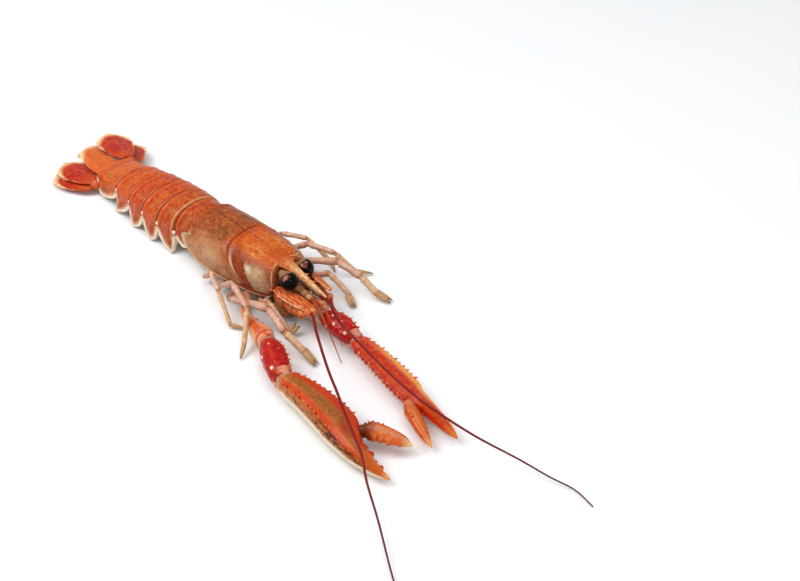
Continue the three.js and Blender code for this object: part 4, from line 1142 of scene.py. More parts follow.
def claw_row(claw, part, angle, shares, lean, power):
    return row_on(claw[part], claw[part + "_sizes"], angle, np.array(shares, float), lean, power)


def claw_spikes(claw, bigger):
    """Rows of sharp spines on a claw: (feet, facing, length, radius)."""
    inner, middle, outer = claw["ridges"]
    wrist, palm = (1.5, 1.15) if bigger else (1.35, 1.1)
    rows = [("arm", 0.9, 0.66, 0.9, 3, 1.3, 0.55, 2.0), ("arm", 2.3, 0.72, 0.9, 2, 0.9, 0.45, 2.0),
            ("wrist", 0.6, 0.16, 0.84, 6, wrist, 0.6, SQUARENESS),
            ("wrist", 1.15, 0.3, 0.8, 4, 0.75, 0.4, SQUARENESS),
            ("palm", inner, 0.05, 0.5, 12, palm * 1.25, 0.75, PALM_POWER),
            ("palm", middle, 0.06, 0.57, 13, 1.25, 0.62, PALM_POWER),
            ("finger", 1.0 if bigger else 2.2, 0.06, 0.34, 4, 0.55, 0.4, 2.0)]
    if bigger:
        rows.append(("wrist", 2.45, 0.2, 0.8, 4, 0.6, 0.4, SQUARENESS))
    else:
        rows.append(("palm", outer + 0.5, 0.05, 0.58, 14, 1.25, 0.6, PALM_POWER))
    made = []
    for part, angle, first, last, count, length, radius, power in rows:
        feet, facing = claw_row(claw, part, angle, np.linspace(first, last, count), 0.6, power)
        made.append((feet, facing, length * (1 + 0.2 * np.sin(np.arange(count) * 2.4)), radius))
    return made


def claw_beads(claw, bigger):
    """White warts of a claw: (feet, facing, height, radius)."""
    if bigger:
        rows = [("wrist", 1.75, [0.3, 0.54], 0.45, 0.55), ("wrist", 2.75, [0.46], 0.45, 0.6),
                ("wrist", 2.3, [0.84], 0.5, 0.75), ("wrist", 3.3, [0.26], 0.4, 0.45)]
    else:
        rows = [("wrist", 1.7, [0.34, 0.6], 0.5, 0.6), ("wrist", 2.35, [0.5, 0.84], 0.5, 0.65),
                ("wrist", 2.95, [0.3], 0.5, 0.5), ("palm", 1.95, [0.03], 0.6, 0.7),
                ("palm", claw["ridges"][2] + 0.05, [0.1, 0.21, 0.32, 0.43, 0.53], 0.5, 0.6)]
    return [(*claw_row(claw, part, angle, shares, 0.15, SQUARENESS if part == "wrist" else PALM_POWER),
             height, radius)
            for part, angle, shares, height, radius in rows]


# ---- Walking legs ----

LEGS = {
    "right": [
        ([(-4.4, -8.2, 2.3), (-5.0, -15.4, 3.0), (1.2, -16.4, 9.2), (12.4, -21.6, 9.2), (22.4, -25.1, 1.6),
          (28.0, -21.7, 0.8)], [1.1, 1.0, 1.05, 0.95, 0.85, 0.6], None),
        ([(2, -8.4, 2.5), (3.6, -15.6, 3.2), (15.2, -17.2, 11.6), (29.8, -22.4, 12.0), (35.8, -29.6, 2.8),
          (38.4, -33.4, 0.8)], [1.2, 1.2, 1.2, 1.1, 1.0, 0.7], None),
        ([(7.6, -8.6, 2.6), (12.4, -17.6, 3.8), (34.8, -17.2, 11.4), (44.8, -18.8, 7.8), (53.1, -17.3, 2.8),
          (59.3, -18.1, 0.9)], [1.4, 1.4, 1.5, 1.45, 1.3, 0.7], [(52.3, -16.3, 3.0), (59.0, -16.6, 1.1)]),
        ([(15.6, -5.4, 1.9), (22, -10.6, 3.2), (28.7, -12.6, 8.6), (40.5, -13.5, 2.2), (40.2, -9.8, 4.2)],
         [1.1, 1.2, 1.2, 1.0, 0.7], [(41.4, -12.9, 2.2), (41.8, -9.4, 3.4)])],
    "left": [
        ([(-4.4, 8.2, 2.3), (-5.0, 15.4, 3.0), (0.6, 17.4, 9.0), (9.6, 22.4, 8.8), (18.6, 25.4, 1.6),
          (24.6, 22.6, 0.8)], [1.1, 1.0, 1.05, 0.95, 0.85, 0.6], None),
        ([(2, 8.4, 2.5), (3.6, 15.6, 3.2), (14.4, 18.4, 10.6), (24.8, 22.6, 9.6), (31.0, 26.6, 2.4),
          (35.4, 32.0, 0.8)], [1.2, 1.2, 1.2, 1.1, 1.0, 0.7], None),
        ([(7.6, 8.6, 2.6), (13.0, 15.2, 3.6), (30.6, 18.6, 10.8), (39.8, 21.6, 7.2), (47.0, 22.6, 2.6),
          (52.6, 24.0, 0.9)], [1.4, 1.4, 1.5, 1.45, 1.3, 0.7], [(46.2, 23.6, 2.8), (52.2, 25.4, 1.1)]),
        ([(17.6, 11.4, 2.2), (24.0, 13.0, 3.4), (31, 14.0, 8.2), (40.6, 15.4, 2.4), (45.6, 13.4, 0.9)],
         [1.1, 1.2, 1.2, 1.0, 0.7], [(40.2, 14.4, 2.4), (45.2, 12.2, 1.1)])]}


def stretch_form(start, end, thick, thin, order, last):
    """One stretch of a leg: a collar at its upper joint, a slim shaft and a swollen lower end.

    The paint order is 0 at the body and 1 on the tip; near is 1 close to a joint."""
    def relief(angle, share):
        collar = -0.22 * thick * bell(share, 0.1, 0.04) + 0.1 * thick * bell(share, 0.17, 0.05)
        groove = -0.05 * thick * turned(angle, 2.0, 0.3)
        return (0 if last else collar) + groove

    if last:
        sizes = [(0, thick * 0.78, thick * 0.85), (0.2, thick * 0.8, thick * 0.85),
                 (0.7, thick * 0.5, thick * 0.5),
                 (1, 0.12, 0.12)]
    else:
        sizes = [(0, thick * 0.72, thick * 0.75), (0.12, thick * 0.95, thick),
                 (0.5, thick * 0.84, thick * 0.9),
                 (0.88, thin * 0.98, thin * 1.08), (1, thin * 0.72, thin * 0.8)]
    bow = UP * np.linalg.norm(np.subtract(end, start)) * 0.015
    form = sweep([start, mixed(np.array(start), np.array(end), 0.5) + bow, end], sizes, 20, 34, relief=relief)
    share = form.paint["along"]
    low_joint = 0 if last else 1 - (1 - share) / 0.1
    form.paint["near"] = np.clip(np.maximum(1 - share / 0.14, low_joint), 0, 1)
    return form.painted(order=order)


def stretches(joints, radii):
    """The stretches of a limb between its joints, from the body to the tip."""
    count = len(joints) - 1
    return [stretch_form(joints[k], joints[k + 1], radii[k], radii[k + 1], k / (count - 1), k == count - 1)
            for k in range(count)]


def leg_form(joints, radii, pincer):
    forms = stretches(joints, radii)
    if pincer:
        forms.append(sweep(pincer, [(0, 0.95, 0.95), (0.6, 0.7, 0.7), (1, 0.14, 0.14)], 16, 24)
                     .painted(order=1.0, near=0.0))
    return joined(forms)


def leg_hair_rows():
    """Short hairs on the last stretches of the legs and along the mouth legs."""
    rows = []
    for side in LEGS.values():
        for joints, radii, _ in side:
            for k in (len(joints) - 3, len(joints) - 2):
                thick, thin = radii[k] * 0.8, radii[k + 1] * 0.5
                sizes = [(0, thick, thick), (1, thin, thin)]
                for angle in (0.6, 2.2, 4.4):
                    shares = np.linspace(0.5 if k == len(joints) - 3 else 0.12, 0.92, 9)
                    feet, facing = row_on([joints[k], joints[k + 1]], sizes, angle, shares, 1.1)
                    rows.append((feet, facing, 0.9, 0.05))
    for joints in MOUTH_LEGS.values():
        for k in range(len(joints) - 1):
            sizes = [(0, 1.1, 1.1), (1, 0.9, 0.9)]
            for angle in np.linspace(0, 5.6, 9):
                shares = np.linspace(0.08, 0.96, 12) + 0.02 * math.sin(angle * 5)
                feet, facing = row_on([joints[k], joints[k + 1]], sizes, angle, shares, 0.9)
                rows.append((feet, facing, 2.1, 0.07))
    return rows


def mouth_leg_form(side):
    return joined(stretches(MOUTH_LEGS[side], [1.35, 1.35, 1.15, 0.8]))


# ---- Finishes ----

def shell_finish():
    """Carapace: red-brown back, tan flanks, painted shade in the groove and a painted highlight ahead of it,
    mottled orange front, greenish cheeks.
    """
    f = Finish("cooked_shell")
    along, turn, beak = f.values("along", "turn", "beak")
    slow = f.noise(0.22, 3, 0.6) - 0.5
    wander = f.noise(0.7, 4, 0.65) - 0.5
    mottle = f.noise(0.55, 5, 0.72)
    fine, grain = f.noise(1.6, 4, 0.75), f.noise(2.6, 4, 0.6)
    a, t = along + wander * 0.12, turn + wander * 0.09 + slow * 0.08
    rear, front = along.rising(1.0, 0.97), along.rising(1.0, 1.01)
    back = f.layers(
        f.mix(t.rising(0.56, 0.74), "#ba8159", "#9a4a21"),
        (a.rising(0.36, 0.1) * t.rising(0.34, 0.5) * 0.8, "#9a4722"),
        (a.near(0.56, 0.3) * t.near(0.42, 0.18) * 0.75, "#cba079"),
        (a.near(0.7, 0.26) * t.near(0.8, 0.19) * 0.85, "#774c27"),
        (a.near(0.56, 0.24) * t.near(0.96, 0.1) * 0.6, "#b4612a"),
        (a.rising(0.8, 0.92) * t.rising(0.36, 0.5) * 0.8, "#a94d27"),
        (a.near(0.95, 0.06) * t.near(0.82, 0.16) * 0.7, "#c4562c"),
        (a.near(0.88, 0.1) * t.near(0.34, 0.12) * 0.8, "#9a472c"),
        (t.rising(0.24, 0.1) * a.rising(0.36, 0.56) * 0.7, "#983d1b"),
        (mottle.rising(0.5, 0.62) * 0.45, "#c27c48"),
        (mottle.rising(0.48, 0.38) * 0.5, "#743417"),
        (fine.rising(0.52, 0.62) * 0.35, "#d09864"),
        (fine.rising(0.47, 0.38) * 0.35, "#84401e"),
        (turn.near(1.0, 0.008) * rear * 0.85, "#572a12"))
    cheek = f.layers("#b99470", (mottle.rising(0.5, 0.62) * 0.7, "#d6c7a4"),
                     (mottle.rising(0.44, 0.32) * 0.7, "#96603a"),
                     (a.near(1.51, 0.12) * t.near(0.55, 0.1) * 0.9, "#dbd6bc"))
    face = f.layers(
        f.mix(t.rising(0.62, 0.8), "#8a381c", "#cc5f29"),
        (a.near(1.24, 0.2) * t.rising(0.88, 0.8) * 0.8, "#8f3d1b"),
        (a.near(1.1, 0.07) * t.rising(0.78, 0.9) * 0.8, "#b8461c"),
        (a.near(1.26, 0.1) * t.near(0.84, 0.12) * 0.7, "#da722c"),
        (a.near(1.38, 0.07) * t.near(0.8, 0.14) * 0.6, "#a4421b"),
        (a.near(1.52, 0.3) * t.near(0.84, 0.17) * mottle.rising(0.42, 0.54) * 0.9, "#d9904a"),
        (a.rising(1.7, 1.9) * t.near(0.76, 0.12) * 0.6, "#b95528"),
        (mottle.rising(0.47, 0.37) * 0.55, "#963414"),
        (fine.rising(0.53, 0.62) * 0.4, "#e39a58"),
        (fine.rising(0.46, 0.37) * 0.4, "#8c3014"),
        (a.rising(1.5, 1.7) * t.near(0.62, 0.12) * 0.7, "#a8673a"),
        (a.rising(1.41, 1.47) * a.rising(2.08, 1.7) * t.rising(0.12, 0.24) * t.rising(0.68, 0.54), cheek),
        (a.near(1.92, 0.12) * t.near(0.56, 0.18) * 0.75, "#7f4326"),
        (t.rising(0.16, 0.06) * 0.8, "#935940"),
        (turn.near(1.0, 0.01) * along.rising(1.7, 1.3) * 0.7, "#8a3a18"))
    dots = f.cells(0.8).rising(0.24, 0.12) * f.noise(0.5, 1).rising(0.45, 0.6)
    face = f.mix(dots * t.rising(0.5, 0.65) * 0.8, face, "#ad3413")
    line = along + wander * 0.008
    color = f.layers(
        f.mix(front, back, face),
        # painted shade down the deep groove
        (line.near(1.0, 0.022) * 0.9, "#66300f"),
        (line.near(1.05, 0.03) * t.rising(0.52, 0.38) * 0.8, "#7d2a12"),
        (a.near(1.17, 0.07) * t.near(0.6, 0.2) * 0.65, "#7d3416"),
        # pale band: painted highlight on the lit front edge of the groove
        (line.near(1.09, 0.055) * t.near(0.48, 0.26), "#dbb08a"),
        (line.rising(0.11, 0.05) * t.rising(0.62, 0.44), "#d3ae88"),
        (line.rising(0.06, 0.03) * t.rising(0.5, 0.78) * 0.8, "#bf5a28"),
        (line.near(0.078, 0.014) * 0.75, "#84401d"),
        (line.near(1.972, 0.016) * t.rising(0.36, 0.5) * wander.rising(-0.2, 0.0) * 0.7, "#dcb78e"),
        (turn.near(0.03, 0.035) * along.rising(1.95, 1.6), "#d8b48e"),
        (turn.rising(-0.02, -0.1), "#d9b08c"))
    streak = f.noise(1.3, 4, 0.7, stretch=(0.5, 1.3, 1.3))
    round_beak = turn.near(0.12, 0.05) + turn.near(0.38, 0.05)
    snout = f.layers(
        f.ramp(along - 2.0, (0.0, "#cb662e"), (0.16, "#d37030"), (0.25, "#c25a26"), (0.38, "#bd5c2c"),
               (0.48, "#c7743c"), (0.6, "#d59a60"), (0.8, "#dfb384"), (1.0, "#ecc79c")),
        (turn.near(0.25, 0.1) * along.rising(2.45, 2.6) * mottle.rising(0.42, 0.54) * 0.8, "#e6bd92"),
        (streak.rising(0.52, 0.6) * along.rising(2.35, 2.65) * 0.8, "#f0d0a0"),
        (streak.rising(0.47, 0.4) * 0.65, "#a8400f"),
        (round_beak * 0.5, "#c8481c"),
        (wander.rising(0.05, 0.2) * 0.4, "#b53d1c"))
    color = f.mix(beak * along.rising(1.98, 2.06), color, snout)
    pits = f.cells(1.7).rising(0.0, 0.35)
    bump = grain * 0.5 + pits * 0.5 + slow + mottle * 0.7
    return f.surface(color, roughness=0.32 + grain * 0.2, coat=0.17, bump=bump, depth=0.2,
                     coat_roughness=0.14, **FLESH)


def tail_finish():
    """Tail rings: orange-red with bright rear rims, painted shade at the front of each ring, a tan collar,
    and cream rims on the lobes.
    """
    f = Finish("cooked_tail")
    along, turn, hang = f.values("along", "turn", "hang")
    rim, number = f.values("rim", "number")
    wander = f.noise(0.6, 4, 0.65) - 0.5
    slow = f.noise(0.2, 2) - 0.5
    mottle = f.noise(0.55, 5, 0.72)
    grain = f.noise(3.0, 4, 0.6)
    a, t = along + wander * 0.14, turn + wander * 0.14
    color = f.ramp(number, (0.0, "#a24119"), (0.2, "#b34a1d"), (0.4, "#bf4a1d"), (0.6, "#c0461a"),
                   (0.8, "#cb5322"), (1.0, "#d06029"))
    second = number.near(0.2, 0.06)
    color = f.layers(
        color,
        (slow.rising(0.0, 0.16) * 0.35, "#cc6a30"),
        (mottle.rising(0.5, 0.6) * 0.6, "#dc7136"),
        (mottle.rising(0.48, 0.38) * 0.65, "#9c2f0c"),
        (f.noise(1.6, 4, 0.75).rising(0.52, 0.62) * 0.4, "#e08a50"),
        (a.near(0.45, 0.2) * t.near(0.66, 0.2) * mottle.rising(0.42, 0.56) * 0.7, "#9c7440"),
        (a.near(0.76, 0.1) * 0.5, "#a8330f"),
        (along.near(0.9, 0.07) * 0.7, "#d2612b"),
        # painted shade at the front of each ring, where it tucks under the ring before it
        (along.rising(0.24, 0.1) * 0.6, "#923a17"),
        ((along + wander * 0.01).near(0.125, 0.02) * t.rising(1.0, 0.75) * 0.75, "#dd9e72"),
        (second * (along + wander * 0.02).near(0.15, 0.09) * mottle.rising(0.3, 0.45), "#c4935f"),
        (t.near(0.3, 0.1) * 0.4, "#ae4a26"))
    edge = rim + wander * 0.9
    color = f.layers(
        color,
        ((hang + wander * 0.4).rising(0.15, 0.8) * 0.55, "#c07f58"),
        (hang.near(0.45, 0.4) * along.near(0.42, 0.26) * edge.rising(1.4, 2.6) * 0.75, "#93431f"),
        (edge.rising(3.2, 1.2) * hang.rising(0.04, 0.2) * 0.7, "#d8ab88"),
        (edge.rising(1.9, 0.8) * hang.rising(0.04, 0.2) * 0.95, "#ecdcc3"),
        (along.near(0.975, 0.02) * (0.25 + t.rising(0.8, 0.3) * 0.6), "#e0aa7c"),
        (turn.rising(-0.02, -0.2), "#dcb592"))
    pits = f.cells(1.9).rising(0.0, 0.35)
    return f.surface(color, roughness=0.3 + grain * 0.22, coat=0.18,
                     bump=grain * 0.4 + pits * 0.4 + slow + mottle * 0.7,
                     depth=0.2, coat_roughness=0.13, **FLESH)


def fan_finish():
    """Fan plates: crimson with rays, orange telson, a soft pale rim that is widest at the rear, and painted
    highlights on the hinge knobs.
    """
    f = Finish("cooked_fan")
    along, across, border = f.values("along", "across", "border")
    middle, knuckle = f.values("middle", "knuckle")
    wander = f.noise(0.35, 5, 0.65) - 0.5
    mottle = f.noise(0.55, 4, 0.72)
    grain = f.noise(2.4, 3, 0.6)
    rays = (across * 60.0 + wander * 5.0).sine() * 0.5 + 0.5
    blade = f.layers("#bb3820", (mottle.rising(0.48, 0.6) * 0.7, "#d25a34"), (rays * 0.35, "#a32a18"),
                     (mottle.rising(0.48, 0.38) * 0.7, "#982612"),
                     (along.rising(0.35, 0.05) * 0.6, "#cb5c2c"))
    telson = f.layers("#d56329", (mottle.rising(0.48, 0.62) * 0.6, "#e38a4c"),
                      (mottle.rising(0.44, 0.34) * 0.5, "#c04a1c"),
                      (across.size().near(0.5, 0.2) * 0.4, "#c84d22"),
                      (along.rising(0.3, 0.0) * 0.5, "#cf5527"))
    width = (border + wander * 3.0) / (0.2 + along.rising(0.55, 1.0) * 2.5)
    color = f.layers(
        f.mix(middle, blade, telson),
        (width.rising(2.6, 0.8) * along.rising(0.1, 0.5) * 0.5, "#dd7a44"),
        (width.rising(2.2, 0.3) * along.rising(0.15, 0.55) * 0.75, "#eab277"),
        (width.rising(1.2, 0.1) * along.rising(0.3, 0.7) * 0.8, "#f5dcb4"),
        (across.near(0.0, 0.05) * along.rising(0.8, 0.5) * 0.35, "#d8764a"),
        # cream patches on the hinge knobs: painted highlights
        (knuckle * wander.rising(0.0, 0.2) * 0.8, "#efd0b0"))
    return f.surface(color, roughness=0.28 + grain * 0.22, coat=0.19,
                     bump=rays * 0.4 + grain * 0.5 + mottle * 0.6,
                     depth=0.16, coat_roughness=0.13, subsurface_weight=0.15, subsurface_scale=0.0012)


def eye_finish():
    """Glossy black eye with a reddish painted reflection and a paler painted highlight in it, and the brown
    skin of its stalk on top.
    """
    f = Finish("dark_eye")
    wander = f.noise(0.9, 3) - 0.5
    glow, cap = f.value("glow") + wander * 0.3, f.value("skin") + wander * 0.35
    # Pink painted reflection, with a paler painted highlight in its middle.
    color = f.layers("#060304", (glow.rising(0.78, 0.92) * 0.8, "#6e332b"),
                     (glow.rising(0.86, 0.96) * wander.rising(-0.05, 0.1) * 0.7, "#c08874"),
                     (cap.rising(0.42, 0.6), "#8d6547"), (cap.near(0.5, 0.12) * 0.9, "#2c1814"))
    return f.surface(color, roughness=0.07 + cap.rising(0.4, 0.6) * 0.3, coat=0.05, bump=f.cells(9.0),
                     depth=0.006,
                     coat_roughness=0.04)


def stalk_finish():
    f = Finish("stalk_skin")
    grain = f.noise(1.8, 4, 0.7)
    color = f.ramp(grain, (0.3, "#6d4a34"), (0.5, "#a8794f"), (0.7, "#cbab84"))
    return f.surface(color, roughness=0.42, coat=0.12, bump=grain, depth=0.2, coat_roughness=0.2)


def horn_finish():
    """Feeler feet and head scales: red-orange with fine streaks along them and a broken pale rim."""
    f = Finish("orange_horn")
    along, turn, across = f.values("along", "turn", "across")
    wander = f.noise(0.8, 4, 0.6) - 0.5
    grain = f.noise(3.2, 4, 0.6)
    streak = f.noise(1.5, 5, 0.65, stretch=(0.3, 1.6, 1.6))
    color = f.layers(
        "#c8541f",
        (streak.rising(0.5, 0.58) * 0.8, "#e3a066"),
        (streak.rising(0.46, 0.38) * 0.8, "#9c330f"),
        (along.near(0.92, 0.08) * 0.45, "#dfa377"),
        (along.near(0.06, 0.06) * 0.5, "#963a1a"),
        (across.size().rising(0.82, 0.98) * wander.rising(-0.12, 0.08) * 0.75, "#ecc094"),
        (turn.near(4.7, 1.0) * 0.5, "#dca37a"))
    return f.surface(color, roughness=0.32 + grain * 0.2, coat=0.18, bump=grain * 0.5 + streak, depth=0.18,
                     coat_roughness=0.14, **FLESH)


def feeler_finish():
    """Long feelers: dark crimson with fine rings, browner towards the tip."""
    f = Finish("crimson_feeler")
    along = f.value("along")
    rings = (along * 1300.0).sine() * 0.5 + 0.5
    wander = f.noise(0.3, 3) - 0.5
    color = f.mix(along.rising(0.45, 1.0), "#84192a", "#6b3430")
    color = f.layers(color, (along.rising(0.12, 0.0) * 0.6, "#bb3a26"), (rings * 0.35, "#560e1c"),
                     (wander.rising(0.05, 0.2) * 0.4, "#a23a3e"))
    return f.surface(color, roughness=0.36, coat=0.15, bump=rings, depth=0.05, coat_roughness=0.2)


def short_feeler_finish():
    f = Finish("cream_feeler")
    along, lash = f.values("along", "lash")
    wander = f.noise(1.0, 3, 0.6) - 0.5
    rings = (along * 500.0).sine() * 0.5 + 0.5
    foot = f.layers("#e0b482", (wander.rising(-0.02, 0.12) * 0.8, "#cb6630"),
                    (along.near(0.5, 0.5).rising(0.5, 0.2) * 0.5, "#b8501f"))
    whip = f.layers("#a8583a", (along.rising(0.35, 0.0) * 0.8, "#a83422"), (rings * 0.3, "#9c6c48"))
    return f.surface(f.mix(lash, foot, whip), roughness=0.4, coat=0.12, bump=rings, depth=0.04,
                     coat_roughness=0.2)


def mouth_leg_finish():
    f = Finish("mouth_leg_shell")
    near = f.value("near")
    grain = f.noise(1.6, 4, 0.65)
    color = f.ramp(grain, (0.3, "#7f4a2c"), (0.5, "#b1764c"), (0.7, "#d3a27a"))
    color = f.mix(near * 0.6, color, "#c24a22")
    return f.surface(color, roughness=0.45, coat=0.12, bump=grain, depth=0.15, coat_roughness=0.25)


def arm_finish():
    """Claw arms: orange above, cream below, pink at the far end with a dark red edge."""
    f = Finish("claw_arm_shell")
    along, turn = f.values("along", "turn")
    wander = f.noise(0.6, 4, 0.6) - 0.5
    mottle = f.noise(0.55, 4, 0.72)
    grain = f.noise(3.0, 4, 0.6)
    t = turn + wander * 0.9
    color = f.layers(
        f.mix(t.near(1.9, 1.5), "#e8c9a2", "#d5652f"),
        (t.near(1.9, 0.7) * along.rising(0.3, 0.6) * 0.6, "#c9471f"),
        (mottle.rising(0.52, 0.64) * 0.5, "#e9a878"),
        (mottle.rising(0.44, 0.34) * 0.4, "#b9431c"),
        (along.rising(0.84, 0.95) * mottle.rising(0.4, 0.6) * 0.8, "#e59a78"),
        ((along + wander * 0.02).near(0.955, 0.02) * 0.8, "#c63c2c"),
        (along.rising(0.35, 0.0) * 0.5, "#e7b795"))
    return f.surface(color, roughness=0.3 + grain * 0.2, coat=0.21, bump=grain * 0.5 + wander + mottle * 0.5,
                     depth=0.18,
                     coat_roughness=0.14, **FLESH)


def wrist_finish():
    """Wrists: vivid red and lumpy, with a peach collar on top, a pale low stripe and joint skin."""
    f = Finish("claw_wrist_shell")
    along, turn, soft = f.values("along", "turn", "soft")
    wander = f.noise(0.7, 4, 0.6) - 0.5
    mottle = f.noise(0.55, 4, 0.72)
    grain = f.noise(2.4, 4, 0.6)
    color = f.layers(
        "#b4180c",
        (mottle.rising(0.5, 0.6) * 0.7, "#cf3c22"),
        (mottle.rising(0.48, 0.38) * 0.75, "#860b06"),
        ((along + wander * 0.05).rising(0.85, 0.92) * (turn + wander * 0.5).near(1.2, 1.3), "#ec9e78"),
        ((along + wander * 0.06).rising(0.1, 0.03) * 0.7, "#c9604a"),
        ((turn + wander * 0.5).near(3.75, 0.42) * along.rising(0.1, 0.3) * 0.85, "#e3a88c"),
        ((turn + wander * 0.7).near(4.9, 0.9) * 0.8, "#dd8163"),
        (soft, "#c98f78"),
        (soft * wander.rising(0.0, 0.2) * 0.8, "#b5553f"))
    return f.surface(color, roughness=0.26 + grain * 0.2, coat=0.25, bump=grain * 0.7 + wander + mottle * 0.6,
                     depth=0.28,
                     coat_roughness=0.12, subsurface_weight=0.08, subsurface_scale=0.001)


def near_claw_finish():
    """Right claw: orange ridges, an olive-tan band, dark speckles and a cream outer side."""
    f = Finish("claw_shell_right")
    along, turn, soft, thumb = f.values("along", "turn", "soft", "thumb")
    wander = f.noise(0.6, 4, 0.65) - 0.5
    mottle = f.noise(0.55, 5, 0.72)
    grain = f.noise(3.0, 4, 0.6)
    fleck = f.noise(1.0, 4, 0.8, stretch=(0.6, 1.2, 1.2))
    a, t = along + wander * 0.1, turn + wander * 0.2
    band, fur = (t.near(1.7, 0.48) * 1.4).least(1.0), f.noise(2.2, 3, 0.7, stretch=(1.8, 0.7, 0.7))
    flecks = (t.near(2.62, 0.46) * 1.6).least(1.0) * fleck.rising(0.44, 0.52)
    low_flecks = (t.near(2.76, 0.24) * 1.5).least(1.0) * fleck.rising(0.48, 0.55)
    color = f.ramp(
        t / ROUND, (0.094, "#c5421a"), (0.19, "#c4502a"), (0.225, "#b87042"), (0.3, "#bf6c3c"),
        (0.334, "#d0441a"),
        (0.367, "#c05827"), (0.39, "#b96836"), (0.437, "#bd7b4e"), (0.464, "#c99e78"), (0.477, "#e8d6be"),
        (0.69, "#e8d2b6"), (0.82, "#d88a5c"), (0.94, "#c5421a"))
    color = f.layers(
        color,
        (mottle.rising(0.52, 0.64) * t.rising(2.9, 2.7) * 0.4, "#d9793f"),
        (mottle.rising(0.44, 0.34) * t.rising(2.9, 2.7) * 0.4, "#a33a14"),
        (band * fur.rising(0.5, 0.58) * a.rising(0.62, 0.5) * 0.8, "#6b4c28"),
        (t.near(1.0, 0.3) * 0.6, "#c8401c"),
        (a.near(0.6, 0.1) * t.near(1.6, 0.6) * 0.75, "#a52a16"),
        (a.rising(0.72, 0.86) * t.rising(1.2, 1.7) * t.rising(3.0, 2.7), "#c8602c"),
        (a.rising(0.7, 0.9) * t.near(0.9, 0.6) * 0.8, "#e08442"),
        (flecks * a.rising(0.3, 0.55) * a.rising(0.92, 0.74) * 0.95, "#4f2312"),
        (low_flecks * a.rising(0.05, 0.2) * a.rising(0.95, 0.7) * 0.9, "#54291a"),
        (a.rising(0.6, 0.8) * t.near(3.35, 0.3) * 0.6, "#d8b6a4"),
        (along.rising(0.05, 0.015) * 0.7, "#b98a62"),
        (along.rising(0.93, 0.99) * 0.8, "#eba868"))
    finger = f.layers(
        "#cf6230",
        (t.near(2.0, 0.5) * 0.75, "#cf9274"),
        (fleck.rising(0.5, 0.6) * 0.4, "#e39a62"),
        (fleck.rising(0.46, 0.36) * 0.4, "#a8441e"),
        (turn.near(0.75, 0.42) * 0.85, "#c2301a"),
        (along.rising(0.32, 0.1) * (grain * 0.8 + 0.4), "#7a3a26"),
        (along.rising(0.14, 0.02) * grain.rising(0.3, 0.6) * 0.7, "#3f251b"),
        (along.rising(0.76, 0.98), "#f0c28a"))
    color = f.layers(f.mix(thumb, color, finger), (soft, "#74402c"))
    return f.surface(color, roughness=0.3 + grain * 0.24, coat=0.18,
                     bump=(grain * 0.5 + fleck * 0.4 + mottle * 0.6) * (1 - thumb * 0.6),
                     depth=0.2, coat_roughness=0.14, **FLESH)


def far_claw_finish():
    """Left claw: red-orange with a dark red ridge and a yellow outer edge."""
    f = Finish("claw_shell_left")
    along, turn, soft, thumb = f.values("along", "turn", "soft", "thumb")
    wander = f.noise(0.6, 4, 0.65) - 0.5
    mottle = f.noise(0.55, 5, 0.72)
    grain = f.noise(3.0, 4, 0.6)
    t = turn + wander * 0.25
    color = f.layers(
        "#d04016",
        (mottle.rising(0.5, 0.62) * 0.6, "#e06a32"),
        (mottle.rising(0.48, 0.38) * 0.6, "#ac260c"),
        (t.near(1.7, 0.3) * 0.6, "#b52c14"),
        (t.near(2.25, 0.35) * 0.4, "#da622a"),
        (t.near(3.1, 0.45) * 0.8, "#c33418"),
        (t.near(2.6, 0.16) * grain.rising(0.45, 0.6) * 0.5, "#7c4a28"),
        (t.near(0.85, 0.5) * along.rising(0.02, 0.3) * 0.9, "#e8a050"),
        (t.near(0.55, 0.25) * 0.9, "#f3d79c"),
        (t.near(4.7, 1.1) * 0.8, "#e4ac7e"),
        (along.rising(0.62, 0.75) * t.near(1.9, 0.6) * 0.5, "#b8562c"),
        (along.rising(0.88, 0.99) * 0.7, "#e48a46"))
    finger = f.layers(
        "#d4703a",
        (mottle.rising(0.5, 0.62) * 0.5, "#e39a5e"),
        (t.near(1.7, 0.6) * (1 - along) * 0.5, "#b0764a"),
        (turn.near(2.6, 0.4) * 0.75, "#c03016"),
        (turn.near(0.5, 0.4) * 0.6, "#c8401f"),
        (along.rising(0.16, 0.03) * 0.8, "#b23a20"),
        (along.rising(0.75, 0.98), "#eaa25c"))
    color = f.mix(soft, f.mix(thumb, color, finger), "#cf7a58")
    return f.surface(color, roughness=0.28 + grain * 0.22, coat=0.21,
                     bump=grain * 0.6 + wander + mottle * 0.5, depth=0.2,
                     coat_roughness=0.13, **FLESH)


